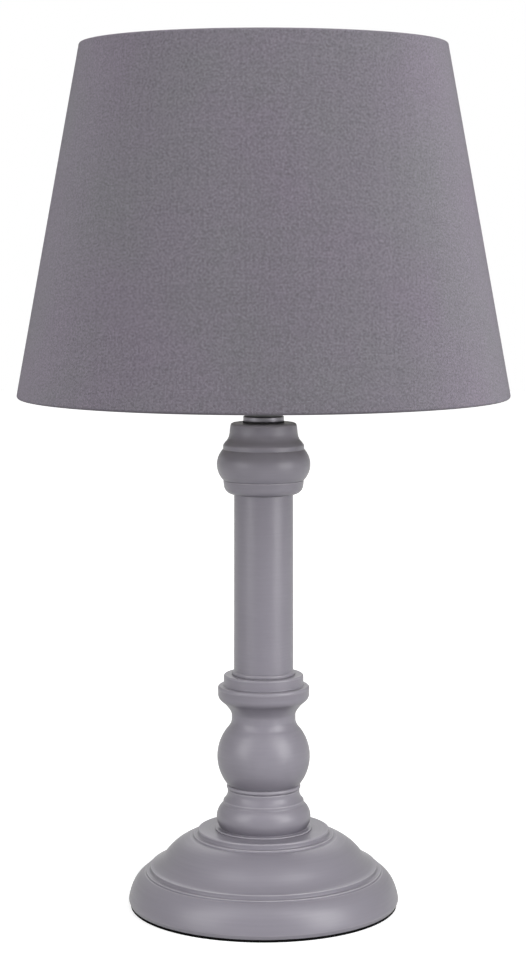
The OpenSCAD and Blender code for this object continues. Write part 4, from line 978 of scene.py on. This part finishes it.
slope = (t["lowHeight"] - fitterMiddle) / (t["lowRadius"] - t["fitter"] + t["fitterThick"])
weldHeight = fitterMiddle + slope * (t["fitterThick"] - t["weld"])
spokeRods = []
for degrees in t["spokeAngles"]:
    start = around(t["fitter"] - t["weld"], degrees, weldHeight)
    end = around(t["lowRadius"] - t["wireRadius"], degrees, t["lowHeight"] - slope * t["wireRadius"])
    spokeRods.append(rod("spokeRod", start, end, t["spoke"], 20))
spokePiece = joined("spokesPiece", spokeRods)
smooth(spokePiece, 40)
dress(spokePiece, finish["whiteCoat"], "shade", "white_wire", "spokes")
print("lamp: shade made")


bulb = {
    "low": 281.75, "tip": 4.9, "tipHeight": 1.8, "housingLow": 308.75, "flareTop": 321.75, "led": 333.55,
    "top": 386.75, "body": 17.5, "widest": 18.0, "wideHeight": 344.55, "point": 11.0, "pointHeight": 371.75,
    "neck": 13.5, "thread": 0.66, "threadRoot": 12.72, "pitch": 3.629, "wall": 0.35, "capLip": 11.85,
    "coneBore": 4.95, "coneLow": 5.8, "cone": 11.8, "coneHeight": 4.45, "insulatorHeight": 4.8,
    "housingBore": 12.06, "housingWall": 1.2, "housingEase": 1.2, "domeWall": 1.0,
}
t = bulb
tipPiece = turned("bulbTipPiece", eased([
    (0, t["low"]), (t["tip"], t["low"]), (t["tip"], t["low"] + t["tipHeight"]),
    (0, t["low"] + t["tipHeight"]),
], 0.8), steps=48)
dress(tipPiece, finish["nickelCap"], "bulb_tip", "bulb_metal", "bulb_tip")

insulatorLow = t["low"] + t["tipHeight"] / 2
shellLow = insulatorLow + t["insulatorHeight"]
insulatorPiece = turned("bulbInsulatorPiece", eased([
    (t["coneBore"], insulatorLow + 0.9), (t["coneBore"], insulatorLow), (t["coneLow"], insulatorLow),
    (t["cone"], insulatorLow + t["coneHeight"]), (t["cone"], shellLow), (0, shellLow),
    (0, insulatorLow + 0.95), (t["tip"], insulatorLow + 0.95),
], 0.3), steps=64)
dress(insulatorPiece, finish["darkInsulator"], "bulb", "bulb_insulator", "bulb_insulator")

capThread = threadRings(t["threadRoot"], t["thread"], t["pitch"], shellLow, t["housingLow"])
capOuter = [(t["threadRoot"], shellLow)] + capThread + [(t["threadRoot"], t["housingLow"])]
capInner = [(r - t["wall"], z) for r, z in capOuter]
bulbCapPiece = turned("bulbCapPiece", [
    (t["capLip"], shellLow - t["wall"]), (t["threadRoot"], shellLow - t["wall"]),
] + capOuter + capInner[::-1] + [(t["capLip"], shellLow)], steps=96)
dress(bulbCapPiece, finish["nickelCap"], "bulb", "bulb_metal", "bulb_cap")

housingFloor = t["housingLow"] + t["housingWall"]
housingPiece = turned("bulbHousingPiece", eased([
    (t["housingBore"], t["housingLow"]), (t["neck"], t["housingLow"]), (t["body"], t["flareTop"]),
    (t["body"], t["led"]), (t["body"] - t["housingWall"], t["led"]),
    (t["body"] - t["housingWall"], t["flareTop"]), (t["neck"] - t["housingWall"], housingFloor),
    (t["housingBore"], housingFloor),
], t["housingEase"]), steps=96)
dress(housingPiece, finish["bulbHousing"], "bulb", "bulb_housing", "bulb_housing")

wideLean = math.atan2(t["widest"] - t["point"], t["pointHeight"] - t["wideHeight"])
domeOuter = track([
    (t["body"], t["led"], 0.01), (t["widest"], t["wideHeight"], math.tan(wideLean / 2) / 2),
    (t["point"], t["pointHeight"], 0.2), (0.0, t["top"]),
])
domeInner = [(r - t["domeWall"], z) for r, z in domeOuter if r > t["domeWall"] + 0.6]
domeInner.append((0.0, t["top"] - t["domeWall"]))
domePiece = turned("bulbDomePiece", domeOuter + domeInner[::-1], steps=96)
dress(domePiece, finish["opalDome"], "bulb", "bulb_dome", "bulb_dome")
print("lamp: bulb made")


for name in (
    "threaded_tube", "foot_washer", "foot_nut", "column_washer", "column_nut", "grub_screw",
    "terminal_screws",
):
    dressNode(name, finish["zincPlate"])
for name in ("live_terminal", "neutral_terminal", "contact_rivets", "centre_contact", "screw_shell"):
    dressNode(name, finish["brightBrass"])
for name in ("top_wire", "bottom_wire"):
    dressNode(name, finish["whiteCoat"])
dressNode("terminal_block", finish["glazedBlock"])
dressNode("led_board", finish["whiteBoard"])
dressNode("led_chips", finish["lightChip"])
dressNode("driver_board", finish["greenBoard"])
print("lamp: frame parts finished")


studio = {
    "floorSize": 8.0, "floorTone": 0.7, "nearGlow": 0.66, "farGlow": 1.0, "glowFrom": 0.2, "glowTo": 1.0,
    "world": 0.06, "aim": 0.2,
    "rightSoftbox": {"at": (1.147, -0.803, 0.67), "size": (0.84, 1.12), "watts": 15.4},
    "leftSoftbox": {"at": (-1.147, -0.803, 0.67), "size": (0.84, 1.12), "watts": 9.3},
    "rightHigh": {"at": (0.99, -0.99, 2.0), "size": (1.2, 1.2), "watts": 11.0},
    "leftHigh": {"at": (-0.99, -0.99, 2.0), "size": (1.2, 1.2), "watts": 7.4},
    "backSoftbox": {"at": (0.0, 1.5, 1.35), "size": (1.6, 1.1), "watts": 8.0},
}


def makeFloorFinish():
    material, tree, bsdf = newMaterial("paleFloor", Roughness=0.9)
    bsdf.inputs["Base Color"].default_value = (studio["floorTone"],) * 3 + (1,)
    x, y, _ = split(tree, coordinates(tree))
    glow = tree.nodes.new("ShaderNodeMapRange")
    for socket, source in zip(glow.inputs, (
        fromAxis(tree, x, y), studio["glowFrom"], studio["glowTo"], studio["nearGlow"], studio["farGlow"],
    )):
        wire(tree, socket, source)
    bsdf.inputs["Emission Color"].default_value = (1, 1, 1, 1)
    strength = maths(tree, "MULTIPLY", seenDirectly(tree), glow.outputs[0])
    tree.links.new(bsdf.inputs["Emission Strength"], strength)
    return material


deselectAll()
bpy.ops.mesh.primitive_plane_add(size=studio["floorSize"], location=(0, 0, 0))
floor = bpy.context.active_object
floor.name = "floor"
floor.data.materials.append(makeFloorFinish())

world = bpy.data.worlds.new("studioWorld")
bpy.context.scene.world = world
world.use_nodes = True
tree = world.node_tree
tree.nodes.clear()
output = tree.nodes.new("ShaderNodeOutputWorld")
background = tree.nodes.new("ShaderNodeBackground")
strength = maths(tree, "MULTIPLY_ADD", seenDirectly(tree), 1.0 - studio["world"], studio["world"])
tree.links.new(background.inputs["Strength"], strength)
background.inputs["Color"].default_value = (1, 1, 1, 1)
tree.links.new(output.inputs["Surface"], background.outputs[0])

for name in ("rightSoftbox", "leftSoftbox", "rightHigh", "leftHigh", "backSoftbox"):
    softbox = studio[name]
    aim = Vector((0, 0, studio["aim"])) - Vector(softbox["at"])
    bpy.ops.object.light_add(
        type="AREA", location=softbox["at"], rotation=aim.to_track_quat("-Z", "Y").to_euler(),
    )
    light = bpy.context.active_object
    light.name = name
    light.data.shape = "RECTANGLE"
    light.data.size, light.data.size_y = softbox["size"]
    light.data.energy = softbox["watts"]
    light.visible_camera = False

bpy.context.scene.view_settings.view_transform = "Standard"
print("lamp: floor and light set")
